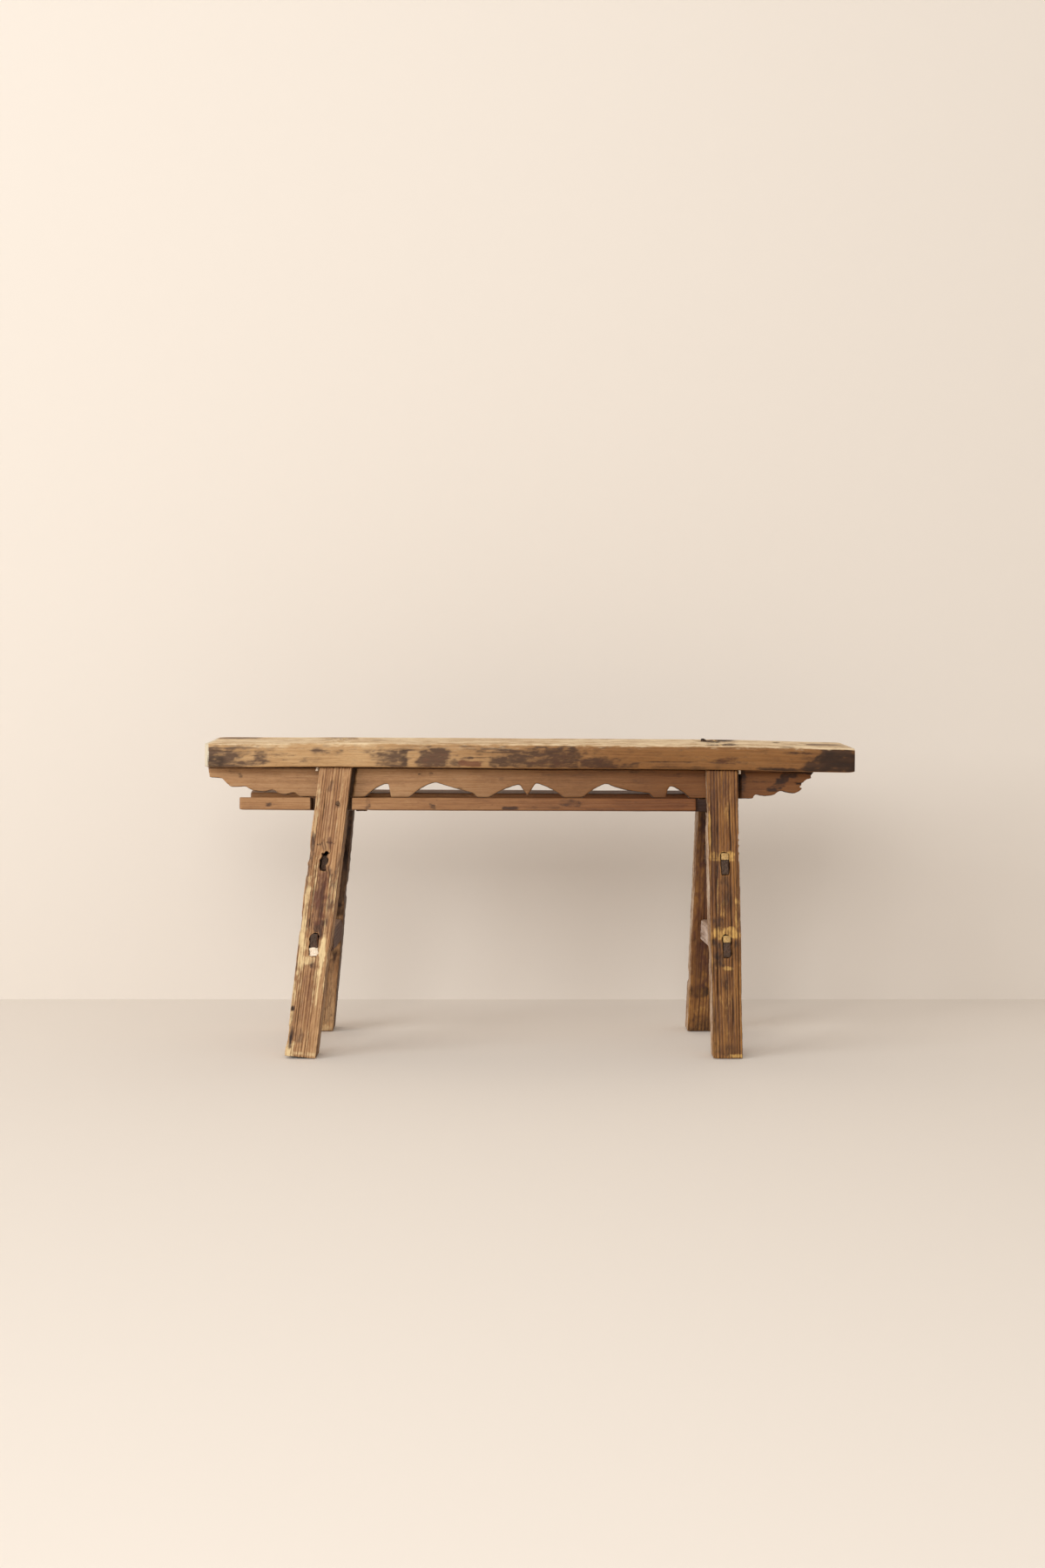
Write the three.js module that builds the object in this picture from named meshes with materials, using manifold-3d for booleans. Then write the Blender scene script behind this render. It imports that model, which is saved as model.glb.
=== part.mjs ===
import * as THREE from 'three';
import { mergeVertices } from 'three/addons/utils/BufferGeometryUtils.js';
import Module from 'manifold-3d';

// An old country bench. A thick plank seat stands on four splayed legs. Each pair of legs is
// slotted over a sawn apron and a rail below it, and carries on through the seat as twin
// tenons. Two stretchers tie the legs at each end.
// Millimetres, +X to the right along the seat, +Y to the back, +Z up, floor at zero.

// Seat
const seatLength = 1042;
const seatDepth = 175;
const seatThickness = 40;
const seatHeight = 500;
const seatTiltDeg = 0.4;
const seatTopRound = 7;
const seatUnderRound = 2.5;
const seatEndRound = 5;
const seatCornerRound = 3;
const clippedCornerAlong = 7;
const clippedCornerAcross = 18;

// Legs, each with its middle's distance from the seat's end and its width, under the seat and
// at the floor
const legDepth = 50;
const legSplayDeg = 7.43;
const legTopInset = 33.2;
const legArris = 2.5;
const legPlans = {
  front_left: { end: -1, topInset: 210.2, footInset: 155.7, topWidth: 55.5, footWidth: 51.5 },
  front_right: { end: 1, topInset: 211.7, footInset: 203.9, topWidth: 52.5, footWidth: 49.7 },
  back_left: { end: -1, topInset: 210.5, footInset: 163.5, topWidth: 54, footWidth: 51 },
  back_right: { end: 1, topInset: 213.5, footInset: 228.5, topWidth: 51.5, footWidth: 50 },
};

// Twin tenons on top of each leg, one on each side of its slot
const frontCheek = 20;
const outerTenonShoulder = 6;
const innerTenonShoulder = 5;
const sideTenonShoulder = 3;
const tenonTopRecess = 0.5;
const seatWedgeTop = 4;
const seatWedgeTip = 1.5;
const seatWedgeDepth = 24;

// Apron. Its lower edge is a walk from left to right over a left scroll, the arches and a
// right scroll. Each step goes to a place along the bench and a rise above the lowest edge,
// straight or bent towards a via point. Places in the scrolls are measured from the seat's
// own end, and those of the arches from its middle.
const apronThickness = 15;
const apronDepth = 49.4;
const apronTopGap = 1;
const apronTiltDeg = 0.2;
const apronLeftInset = 1.5;
const apronRightInset = 57.5;
const leftScroll = [
  { to: [4, 30.7] },
  { to: [24, 29.7], via: [14, 31.2] },
  { to: [38, 16] },
  { to: [62.5, 17], via: [51, 15.6] },
  { to: [90.5, 8], via: [71, 9] },
  { to: [107, 12.4], via: [101, 8.5] },
  { to: [123, 3.3], via: [115, 4.3] },
  { to: [141, 8.2], via: [132, 2.8] },
  { to: [150, 0] },
];
const arches = [
  // first half arch
  { to: [-265, 0] },
  { to: [-228, 22.5], via: [-246, 20.2] },
  { to: [-226, 13.2] },
  { to: [-224, 0] },
  // left arch
  { to: [-193, 0] },
  { to: [-151, 24.6], via: [-171, 21] },
  { to: [-91, 7.2], via: [-124, 15.8] },
  { to: [-84, 0] },
  // middle pair of half arches with a pointed tooth between them
  { to: [-65, 0] },
  { to: [-16, 21.7], via: [-38, 17.5] },
  { to: [-3, 3] },
  { to: [11, 24.2] },
  { to: [56, 0], via: [35, 18] },
  // right arch
  { to: [86.5, 0] },
  { to: [125, 23.5], via: [107, 19] },
  { to: [193, 8.2], via: [152, 10.4] },
  { to: [200, 0] },
  // last half arch
  { to: [221.5, 0] },
  { to: [224, 13.6] },
  { to: [228.5, 20.6] },
  { to: [258.5, 0], via: [248, 12] },
];
const rightScroll = [
  { to: [160, 0] },
  { to: [157.5, 5.6] },
  { to: [153.5, 6.9] },
  { to: [125.5, 6], via: [142, 2] },
  { to: [115, 13] },
  { to: [93, 8.4], via: [104, 8.9] },
  { to: [79.5, 17.9], via: [82, 10.9] },
  { to: [87.5, 16.9] },
  { to: [81.5, 20.9] },
  { to: [72, 31.4], via: [80, 26.4] },
  { to: [64.5, 33.3] },
  { to: [66.5, 36.3] },
  { to: [60.5, 42.8] },
];

// Rail under the apron, notched round the left leg and tongued into the right one
const railHeight = 20.5;
const railThickness = 30;
const railGap = 0.5;
const railArris = 1.2;
const railOverhang = 120.6;
const railNotchSlack = 4;
const railTongueReveal = 16.2;
const railTongueStop = 6;
const pegDiameter = 5;
const pegOffset = 10.5;
const pegRecess = 0.6;

// Batten across from rail to rail, let into their undersides beside the left legs
const battenWidth = 18;
const battenThickness = 9;
const battenProud = 1.6;
const battenFromLeg = 20;

// Shims by the outer top corners of the front legs
const shimTopWidth = 3;
const shimFootWidth = 4.8;
const shimHeight = 9;
const shimDepth = 12;

// Stretchers from front leg to back leg, at the height of their middles
const stretcherHeight = 36;
const stretcherArris = 2.5;
const stretcherTenonHeight = 23;
const stretcherTenonWidth = 12;
const tenonEndRecess = 1;
const brokenTenonRecess = 8;
const stretcherWedgeButt = 11.5;
const stretcherWedgeTip = 4;
const stretcherWedgeLength = 38;
const stretcherPlans = {
  left_upper: { end: 'left', height: 315.5, width: 30, wedgeAbove: true, frontWedge: false },
  left_lower: { end: 'left', height: 179.6, width: 53, wedgeAbove: false, frontWedge: true },
  right_upper: { end: 'right', height: 309.4, width: 30, wedgeAbove: true, frontWedge: true },
  right_lower: { end: 'right', height: 178.3, width: 30, wedgeAbove: true, frontWedge: true },
};

// Clearance between fitted pieces, fineness of curves, how far cutting blocks reach, and how
// far a drawing runs past the seat's underside before it is trimmed
const jointGap = 0.3;
const curveSteps = 6;
const pegSides = 16;
const farAway = 900;
const overcut = 40;
const shoulderOverlap = 10;

const radians = THREE.MathUtils.degToRad;
const lerp = THREE.MathUtils.lerp;
const seatUnderside = seatHeight - seatThickness;
const legMiddleY = seatDepth / 2 - legTopInset;
const legLength = seatUnderside / Math.cos(radians(legSplayDeg));
const apronOuter = legDepth / 2 - frontCheek;
const apronInner = apronOuter - apronThickness;
const railOuter = apronInner + railThickness;
const railTop = -(apronDepth + railGap);
const railBottom = railTop - railHeight;
const railMiddle = (railTop + railBottom) / 2;

// Colours of the woods
const seatWood = wood(0xb8905c, 0.72);
const legWoods = {
  front_left: wood(0xb0834f, 0.74),
  front_right: wood(0x7d5330, 0.7),
  back_left: wood(0x8c6540, 0.76),
  back_right: wood(0x6b4630, 0.74),
};
const apronWood = wood(0x996b42, 0.7);
const railWood = wood(0xa3703f, 0.68);
const stretcherWood = wood(0x8b6a50, 0.78);
const wedgeWood = wood(0xcdb078, 0.8);
const pegWood = wood(0x4f3a28, 0.75);

// Working frames. A side frame leans with its pair of legs, with x along the bench, y away
// from its middle plane and z up the legs from the seat's underside. The upper frame inside
// it tilts with the apron and the rail.
const bench = new THREE.Group();
const seatFrame = new THREE.Group();
seatFrame.position.z = seatUnderside;
seatFrame.rotation.y = radians(seatTiltDeg);
bench.add(seatFrame);
const sides = { front: makeSide(-1), back: makeSide(1) };
bench.updateMatrixWorld(true);

const wasm = await Module();
wasm.setup();

buildSeat();
for (const name of Object.keys(legPlans)) {
  buildLeg(name);
}
for (const name of Object.keys(sides)) {
  buildApron(name);
  buildRail(name);
  buildPeg(name);
}
buildBatten();
buildShim('front_left', -1);
buildShim('front_right', 1);
for (const name of Object.keys(stretcherPlans)) {
  buildStretcher(name);
}

export default bench;

// Frames and materials

function wood(color, roughness) {
  return new THREE.MeshStandardMaterial({ color, roughness, metalness: 0 });
}

function makeSide(sign) {
  const frame = new THREE.Group();
  frame.position.set(0, sign * legMiddleY, seatUnderside);
  frame.rotation.x = sign * radians(legSplayDeg);
  const upper = new THREE.Group();
  upper.rotation.y = radians(apronTiltDeg);
  frame.add(upper);
  bench.add(frame);
  return { sign, frame, upper };
}

function sideOf(legName) {
  return sides[legName.split('_')[0]];
}

function addPiece(name, geometry, material, frame) {
  const mesh = new THREE.Mesh(geometry, material.clone());
  mesh.name = name;
  frame.add(mesh);
}

// Geometry drawn in one frame, as another frame sees it
function carry(geometry, from, to) {
  const matrix = to.matrixWorld.clone().invert().multiply(from.matrixWorld);
  return geometry.clone().applyMatrix4(matrix);
}

// Solid joining and cutting

function toSolid(geometry) {
  const bare = geometry.clone();
  bare.deleteAttribute('normal');
  bare.deleteAttribute('uv');
  const merged = mergeVertices(bare, 1e-4);
  const vertProperties = new Float32Array(merged.attributes.position.array);
  const triVerts = new Uint32Array(merged.index.array);
  return new wasm.Manifold(new wasm.Mesh({ numProp: 3, vertProperties, triVerts }));
}

function toGeometry(solid) {
  const mesh = solid.getMesh();
  const geometry = new THREE.BufferGeometry();
  geometry.setAttribute('position', new THREE.BufferAttribute(mesh.vertProperties, 3));
  geometry.setIndex(new THREE.BufferAttribute(mesh.triVerts, 1));
  geometry.computeVertexNormals();
  return geometry;
}

function combine(operation, first, others) {
  let solid = toSolid(first);
  for (const other of others) {
    solid = solid[operation](toSolid(other));
  }
  return toGeometry(solid);
}

function join(first, ...others) {
  return combine('add', first, others);
}

function cut(first, ...others) {
  return combine('subtract', first, others);
}

function common(first, ...others) {
  return combine('intersect', first, others);
}

// Plain shapes

// A box between two corners
function block(low, high) {
  const size = high.map((value, axis) => value - low[axis]);
  const geometry = new THREE.BoxGeometry(...size);
  const middle = high.map((value, axis) => (value + low[axis]) / 2);
  return geometry.translate(...middle);
}

// A board whose outline is drawn along the bench and upwards, between two depths in y
function board(outline, depths, arris = 0) {
  const [near, far] = depths;
  const geometry = new THREE.ExtrudeGeometry(outline, {
    depth: far - near - 2 * arris,
    curveSegments: curveSteps,
    bevelEnabled: arris > 0,
    bevelThickness: arris,
    bevelSize: arris,
    bevelOffset: -arris,
    bevelSegments: 2,
  });
  geometry.rotateX(Math.PI / 2);
  return geometry.translate(0, far - arris, 0);
}

// Depths in y of a slice between two distances outwards from a side frame's middle plane
function outwards(side, inner, outer) {
  return side.sign > 0 ? [inner, outer] : [-outer, -inner];
}

function polygon(points) {
  return new THREE.Shape(points.map(([x, z]) => new THREE.Vector2(x, z)));
}

function rectangle(left, bottom, right, top) {
  return polygon([[left, bottom], [right, bottom], [right, top], [left, top]]);
}

// A rectangle round its middle with two lower and two upper corner radii
function roundedRectangle(width, bottom, top, lowRadius, highRadius) {
  const half = width / 2;
  const shape = new THREE.Shape();
  shape.moveTo(-half + lowRadius, bottom);
  shape.lineTo(half - lowRadius, bottom);
  shape.absarc(half - lowRadius, bottom + lowRadius, lowRadius, -Math.PI / 2, 0);
  shape.lineTo(half, top - highRadius);
  shape.absarc(half - highRadius, top - highRadius, highRadius, 0, Math.PI / 2);
  shape.lineTo(-half + highRadius, top);
  shape.absarc(-half + highRadius, top - highRadius, highRadius, Math.PI / 2, Math.PI);
  shape.lineTo(-half, bottom + lowRadius);
  shape.absarc(-half + lowRadius, bottom + lowRadius, lowRadius, Math.PI, Math.PI * 1.5);
  return shape;
}

// Blocks that trim pieces to the planes they meet

function belowFloor() {
  return block([-farAway, -farAway, -farAway], [farAway, farAway, 0]);
}

function aboveSeatPlane(height) {
  return block([-farAway, -farAway, height], [farAway, farAway, farAway]);
}

function beyondPlane(side, outer) {
  const [near, far] = outwards(side, outer, farAway);
  return block([-farAway, near, -farAway], [farAway, far, farAway]);
}

// Where a leg's middle and edges lie, at a height measured from the seat's underside

function legMiddle(plan, z) {
  const inset = lerp(plan.topInset, plan.footInset, -z / legLength);
  return plan.end * (seatLength / 2 - inset);
}

function legEdge(plan, z, direction) {
  const width = lerp(plan.topWidth, plan.footWidth, -z / legLength);
  return legMiddle(plan, z) + (direction * width) / 2;
}

// The seat plank, worn round along its edges, with a mortise for each leg tenon

function buildSeat() {
  const plan = new THREE.Shape();
  const halfLength = seatLength / 2;
  const halfDepth = seatDepth / 2;
  const round = seatCornerRound;
  plan.moveTo(-halfLength + clippedCornerAlong, -halfDepth);
  plan.lineTo(halfLength - round, -halfDepth);
  plan.absarc(halfLength - round, -halfDepth + round, round, -Math.PI / 2, 0);
  plan.lineTo(halfLength, halfDepth - round);
  plan.absarc(halfLength - round, halfDepth - round, round, 0, Math.PI / 2);
  plan.lineTo(-halfLength + round, halfDepth);
  plan.absarc(-halfLength + round, halfDepth - round, round, Math.PI / 2, Math.PI);
  plan.lineTo(-halfLength, -halfDepth + clippedCornerAcross);
  const fromAbove = new THREE.ExtrudeGeometry(plan, {
    depth: seatThickness + 2 * overcut,
    bevelEnabled: false,
    curveSegments: curveSteps,
  }).translate(0, 0, -overcut);

  const sideView = roundedRectangle(seatLength, 0, seatThickness, seatEndRound, seatEndRound);
  const fromFront = board(sideView, [-seatDepth, seatDepth]);

  const endView = roundedRectangle(seatDepth, 0, seatThickness, seatUnderRound, seatTopRound);
  const fromEnd = board(endView, [-seatLength, seatLength]).rotateZ(Math.PI / 2);

  const mortises = [];
  for (const [name, legPlan] of Object.entries(legPlans)) {
    const side = sideOf(name);
    for (const depths of tenonDepths(side, jointGap)) {
      const hole = board(tenonOutline(legPlan, jointGap), depths);
      mortises.push(carry(hole, side.frame, seatFrame));
    }
  }
  const plank = cut(common(fromAbove, fromFront, fromEnd), ...mortises);
  addPiece('seat_plank', plank, seatWood, seatFrame);
}

// Legs

// A slanted strip that follows a leg's line up through the seat
function tenonOutline(plan, grow) {
  const half = plan.topWidth / 2 - sideTenonShoulder + grow;
  const low = -jointGap - shoulderOverlap;
  const high = seatThickness + overcut;
  return polygon([
    [legMiddle(plan, low) - half, low],
    [legMiddle(plan, low) + half, low],
    [legMiddle(plan, high) + half, high],
    [legMiddle(plan, high) - half, high],
  ]);
}

// Depths of the outer and the inner tenon
function tenonDepths(side, grow) {
  const outerFace = legDepth / 2 - outerTenonShoulder + grow;
  const innerFace = -legDepth / 2 + innerTenonShoulder - grow;
  const slotOuter = apronOuter + jointGap - grow;
  const slotInner = apronInner - jointGap + grow;
  return [outwards(side, slotOuter, outerFace), outwards(side, innerFace, slotInner)];
}

// A thin wedge down a tenon's middle, narrow end below
function seatWedgeOutline(plan, grow) {
  const tip = seatThickness - seatWedgeDepth - grow;
  const top = seatThickness + overcut;
  const widen = (seatWedgeTop - seatWedgeTip) / seatWedgeDepth / 2;
  const tipHalf = seatWedgeTip / 2 + grow;
  const topHalf = seatWedgeTip / 2 + grow + widen * (top - tip);
  return polygon([
    [legMiddle(plan, tip) - tipHalf, tip],
    [legMiddle(plan, tip) + tipHalf, tip],
    [legMiddle(plan, top) + topHalf, top],
    [legMiddle(plan, top) - topHalf, top],
  ]);
}

function buildLeg(name) {
  const plan = legPlans[name];
  const side = sideOf(name);
  const low = -legLength - overcut;
  const outline = polygon([
    [legEdge(plan, low, -1), low],
    [legEdge(plan, low, 1), low],
    [legEdge(plan, overcut, 1), overcut],
    [legEdge(plan, overcut, -1), overcut],
  ]);
  const [near, far] = [-legDepth / 2, legDepth / 2];
  const shoulderCut = carry(aboveSeatPlane(-jointGap), seatFrame, side.frame);
  const shaft = cut(board(outline, [near, far], legArris), shoulderCut);

  const tenons = tenonDepths(side, 0).map((depths) => board(tenonOutline(plan, 0), depths));
  const topCut = carry(aboveSeatPlane(seatThickness - tenonTopRecess), seatFrame, side.frame);
  const floorCut = carry(belowFloor(), bench, side.frame);
  const kerf = board(seatWedgeOutline(plan, jointGap), [-legDepth, legDepth]);

  const slotDepths = outwards(side, apronInner - jointGap, apronOuter + jointGap);
  const slotLeft = legMiddle(plan, railMiddle) - 2 * plan.topWidth;
  const slotRight = legMiddle(plan, railMiddle) + 2 * plan.topWidth;
  const slotOutline = rectangle(slotLeft, railBottom - jointGap, slotRight, farAway);
  const slot = carry(board(slotOutline, slotDepths), side.upper, side.frame);

  const tools = [slot, kerf, topCut, floorCut];
  if (name.endsWith('left')) {
    tools.push(carry(pegShape(side, plan, jointGap), side.upper, side.frame));
  }
  for (const [stretcherName, stretcher] of Object.entries(stretcherPlans)) {
    if (name.endsWith(stretcher.end)) {
      const frame = stretcherFrame(stretcher);
      for (const tool of mortiseTools(stretcherName, side)) {
        tools.push(carry(tool, frame, side.frame));
      }
    }
  }
  addPiece(`leg_${name}`, cut(join(shaft, ...tenons), ...tools), legWoods[name], side.frame);

  for (const [index, depths] of tenonDepths(side, 0).entries()) {
    const wedge = cut(board(seatWedgeOutline(plan, 0), depths), topCut);
    const place = index === 0 ? 'outer' : 'inner';
    addPiece(`seat_wedge_${name}_${place}`, wedge, wedgeWood, side.frame);
  }
}

// Aprons

// Follows the steps along the lower edge, with each place turned into x
function walkEdge(outline, steps, toX) {
  for (const { to, via } of steps) {
    const [x, z] = [toX(to[0]), to[1] - apronDepth];
    if (via) {
      outline.quadraticCurveTo(toX(via[0]), via[1] - apronDepth, x, z);
    } else {
      outline.lineTo(x, z);
    }
  }
}

function buildApron(name) {
  const side = sides[name];
  const halfLength = seatLength / 2;
  const left = -halfLength + apronLeftInset;
  const right = halfLength - apronRightInset;
  const outline = new THREE.Shape();
  outline.moveTo(left, overcut);
  outline.lineTo(left, 0);
  walkEdge(outline, leftScroll, (place) => place - halfLength);
  walkEdge(outline, arches, (place) => place);
  walkEdge(outline, rightScroll, (place) => halfLength - place);
  outline.lineTo(right, 0);
  outline.lineTo(right, overcut);
  const apron = board(outline, outwards(side, apronInner, apronOuter));
  const topCut = carry(aboveSeatPlane(-apronTopGap), seatFrame, side.upper);
  addPiece(`apron_${name}`, cut(apron, topCut), apronWood, side.upper);
}

// Rails and what fastens them

function buildRail(name) {
  const side = sides[name];
  const left = legPlans[`${name}_left`];
  const right = legPlans[`${name}_right`];
  const railLeft = legEdge(left, railMiddle, -1) - railOverhang;
  const railRight = legEdge(right, railMiddle, 1) - railTongueStop;
  const outline = rectangle(railLeft, railBottom, railRight, railTop);
  const rail = board(outline, outwards(side, apronInner, railOuter), railArris);

  const cheekDepths = outwards(side, apronOuter, railOuter + overcut);
  const low = railBottom - overcut;
  const high = railTop + overcut;
  const notchLeft = legEdge(left, railMiddle, -1) - railNotchSlack;
  const notchRight = legEdge(left, railMiddle, 1) + railNotchSlack;
  const notch = board(rectangle(notchLeft, low, notchRight, high), cheekDepths);
  const shoulder = legEdge(right, railMiddle, -1) - railTongueReveal;
  const relief = board(rectangle(shoulder, low, railRight + overcut, high), cheekDepths);
  const battenNotch = carry(battenShape(jointGap), bench, side.upper);
  const shaped = cut(rail, notch, relief, battenNotch, pegShape(side, left, jointGap));
  addPiece(`rail_${name}`, shaped, railWood, side.upper);
}

function pegShape(side, legPlan, grow) {
  const length = legDepth - 2 * pegRecess + (grow > 0 ? overcut : 0);
  const x = legMiddle(legPlan, railMiddle) + pegOffset;
  const pin = new THREE.CylinderGeometry(
    pegDiameter / 2 + grow,
    pegDiameter / 2 + grow,
    length,
    pegSides,
  );
  return pin.translate(x, 0, railMiddle);
}

function buildPeg(name) {
  const side = sides[name];
  const pin = pegShape(side, legPlans[`${name}_left`], 0);
  addPiece(`rail_peg_${name}`, pin, pegWood, side.upper);
}

function battenShape(grow) {
  const side = sides.front;
  const x = legEdge(legPlans.front_left, railMiddle, 1) + battenFromLeg;
  const seat = new THREE.Vector3(x, side.sign * apronOuter, railBottom);
  side.upper.localToWorld(seat);
  const low = seat.z - battenProud;
  const half = battenWidth / 2;
  return block(
    [seat.x - half - grow, seat.y - grow, low - grow],
    [seat.x + half + grow, -seat.y + grow, low + battenThickness + grow],
  );
}

function buildBatten() {
  addPiece('cross_batten', battenShape(0), railWood, bench);
}

function buildShim(legName, direction) {
  const plan = legPlans[legName];
  const side = sideOf(legName);
  const underside = -legEdge(plan, 0, direction) * Math.tan(radians(seatTiltDeg));
  const top = underside + shoulderOverlap;
  const foot = underside - shimHeight;
  const start = direction * jointGap;
  const edgeTop = legEdge(plan, top, direction) + start;
  const edgeFoot = legEdge(plan, foot, direction) + start;
  const corners = [
    [edgeFoot, foot],
    [edgeTop, top],
    [edgeTop + direction * shimTopWidth, top],
    [edgeFoot + direction * shimFootWidth, foot],
  ];
  const depths = outwards(side, apronOuter + jointGap, apronOuter + jointGap + shimDepth);
  const seatCut = carry(aboveSeatPlane(-jointGap), seatFrame, side.frame);
  const shim = cut(board(polygon(corners), depths), seatCut);
  addPiece(`leg_shim_${legName}`, shim, wedgeWood, side.frame);
}

// Stretchers, drawn with y from the front leg to the back leg

function stretcherFrame(plan) {
  const ends = Object.values(sides).map((side) => {
    const which = side.sign < 0 ? 'front' : 'back';
    const z = (plan.height - seatUnderside) / Math.cos(radians(legSplayDeg));
    const x = legMiddle(legPlans[`${which}_${plan.end}`], z);
    return side.frame.localToWorld(new THREE.Vector3(x, 0, z));
  });
  const [front, back] = ends;
  const frame = new THREE.Group();
  frame.position.set((front.x + back.x) / 2, 0, plan.height);
  frame.rotation.z = Math.atan2(front.x - back.x, back.y - front.y);
  frame.updateMatrixWorld(true);
  return frame;
}

// The tenon keeps to the lower part of the stretcher under a wedge, or to the upper part
function tenonSpan(plan) {
  const half = stretcherHeight / 2;
  if (plan.wedgeAbove) {
    return [-half, -half + stretcherTenonHeight];
  }
  return [half - stretcherTenonHeight, half];
}

function tenonBar(plan, grow) {
  const [low, high] = tenonSpan(plan);
  const half = stretcherTenonWidth / 2 + grow;
  return block([-half, -farAway / 2, low - grow], [half, farAway / 2, high + grow]);
}

// The wedge beside a tenon, thick at the leg's outer face
function wedgeShape(name, side, grow) {
  const plan = stretcherPlans[name];
  const [low, high] = tenonSpan(plan);
  const outer = wedgeReach(plan, side) + grow;
  const inner = outer - stretcherWedgeLength - 2 * grow;
  const lift = plan.wedgeAbove ? 1 : -1;
  const base = plan.wedgeAbove ? high + jointGap - grow : low - jointGap + grow;
  const tip = base + lift * (stretcherWedgeTip + 2 * grow);
  const butt = base + lift * (stretcherWedgeButt + 2 * grow);
  const extra = grow > 0 ? overcut / 2 : 0;
  const slope = (butt - tip) / (outer - inner);
  const corners = [
    [inner, base],
    [outer + extra, base],
    [outer + extra, butt + slope * extra],
    [inner, tip],
  ];
  const outline = polygon(corners.map(([y, z]) => [side.sign * y, z]));
  const half = stretcherTenonWidth / 2 + grow;
  return board(outline, [-half, half]).rotateZ(Math.PI / 2);
}

// How far from the bench's middle a leg's outer face stands at a stretcher's height
function wedgeReach(plan, side) {
  const splay = radians(legSplayDeg);
  const drop = seatUnderside - plan.height;
  const faceTop = legMiddleY + legDepth / 2 / Math.cos(splay);
  return faceTop + drop * Math.tan(splay) - tenonEndRecess;
}

function mortiseTools(name, side) {
  const plan = stretcherPlans[name];
  const near = side.sign < 0 ? [-farAway / 2, 0] : [0, farAway / 2];
  const keep = block([-farAway, near[0], -farAway], [farAway, near[1], farAway]);
  return [common(tenonBar(plan, jointGap), keep), wedgeShape(name, side, jointGap)];
}

function buildStretcher(name) {
  const plan = stretcherPlans[name];
  const frame = stretcherFrame(plan);
  bench.add(frame);
  const half = stretcherHeight / 2;
  const section = rectangle(-plan.width / 2, -half, plan.width / 2, half);
  let body = board(section, [-seatDepth, seatDepth]);
  const corner = stretcherArris * Math.SQRT2;
  for (const [x, z] of [[-1, -1], [1, -1], [1, 1], [-1, 1]]) {
    const edge = new THREE.BoxGeometry(corner, 4 * seatDepth, corner);
    edge.rotateY(Math.PI / 4);
    body = cut(body, edge.translate((x * plan.width) / 2, 0, z * half));
  }
  let bar = tenonBar(plan, 0);
  for (const side of Object.values(sides)) {
    const innerFace = beyondPlane(side, -legDepth / 2 - jointGap);
    body = cut(body, carry(innerFace, side.frame, frame));
    const broken = side.sign < 0 && !plan.frontWedge;
    const recess = broken ? brokenTenonRecess : tenonEndRecess;
    const outerFace = beyondPlane(side, legDepth / 2 - recess);
    bar = cut(bar, carry(outerFace, side.frame, frame));
  }
  addPiece(`stretcher_${name}`, join(body, bar), stretcherWood, frame);

  for (const [sideName, side] of Object.entries(sides)) {
    if (sideName === 'back' || plan.frontWedge) {
      const faceCut = carry(beyondPlane(side, legDepth / 2 - tenonEndRecess), side.frame, frame);
      const wedge = cut(wedgeShape(name, side, 0), faceCut);
      addPiece(`stretcher_wedge_${name}_${sideName}`, wedge, wedgeWood, frame);
    }
  }
}
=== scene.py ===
"""An old country bench. Every piece is worn, ridged wood, on a pale floor in soft studio light.

Each CAD node is copied into the wood's own frame, where x and y run across the grain and z
along it. There it gets a dense skin, which is then worn, grooved and marked in code. Lengths
are metres, and the lists of marks are in millimetres.
"""

import math

import bpy
import numpy as np
from mathutils import Matrix, Vector


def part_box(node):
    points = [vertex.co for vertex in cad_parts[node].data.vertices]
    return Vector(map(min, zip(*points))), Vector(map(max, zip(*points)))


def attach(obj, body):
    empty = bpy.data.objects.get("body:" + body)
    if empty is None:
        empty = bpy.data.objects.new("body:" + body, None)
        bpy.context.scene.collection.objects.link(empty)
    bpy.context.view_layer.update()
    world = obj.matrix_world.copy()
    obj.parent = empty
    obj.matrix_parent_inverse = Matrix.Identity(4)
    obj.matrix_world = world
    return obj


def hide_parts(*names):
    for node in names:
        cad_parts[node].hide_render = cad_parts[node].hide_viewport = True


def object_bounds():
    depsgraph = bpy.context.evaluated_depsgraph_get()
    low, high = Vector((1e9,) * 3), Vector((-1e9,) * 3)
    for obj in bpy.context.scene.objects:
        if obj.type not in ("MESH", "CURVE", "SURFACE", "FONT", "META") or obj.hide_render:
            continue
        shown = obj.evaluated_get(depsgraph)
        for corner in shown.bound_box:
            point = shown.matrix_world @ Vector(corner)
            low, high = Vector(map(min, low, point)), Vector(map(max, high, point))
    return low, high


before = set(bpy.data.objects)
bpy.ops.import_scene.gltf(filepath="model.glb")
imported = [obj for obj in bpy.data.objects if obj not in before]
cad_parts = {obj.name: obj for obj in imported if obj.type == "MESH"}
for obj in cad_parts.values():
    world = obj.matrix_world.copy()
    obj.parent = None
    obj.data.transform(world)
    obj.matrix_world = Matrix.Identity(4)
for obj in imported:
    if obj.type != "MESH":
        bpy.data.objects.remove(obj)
CAD_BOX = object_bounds()
MM = 0.001

# Working frames, as the pieces are built
SEAT_UNDERSIDE = 0.460
SEAT_THICKNESS = 0.040
SEAT_TILT = math.radians(0.4)
APRON_TILT = math.radians(0.2)
LEG_SPLAY = math.radians(7.43)
SIDE_MIDDLE = 0.0543
HALF_LENGTH = 0.521
HALF_DEPTH = 0.0875
LEG_HALF_DEPTH = 0.025
FRONT, BACK = -1, 1

# The photograph's view
EYE = Vector((-0.011, -3.5875, 0.714))
PITCH_DOWN = math.radians(4.543)
LENS = 50.34
SENSOR = 36
WALL_Y = 0.401


def smooth(low, high, value):
    """0 below low, 1 above high and a soft step between them. It falls where low is above high."""
    t = np.clip((value - low) / (high - low), 0, 1)
    return t * t * (3 - 2 * t)


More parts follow.
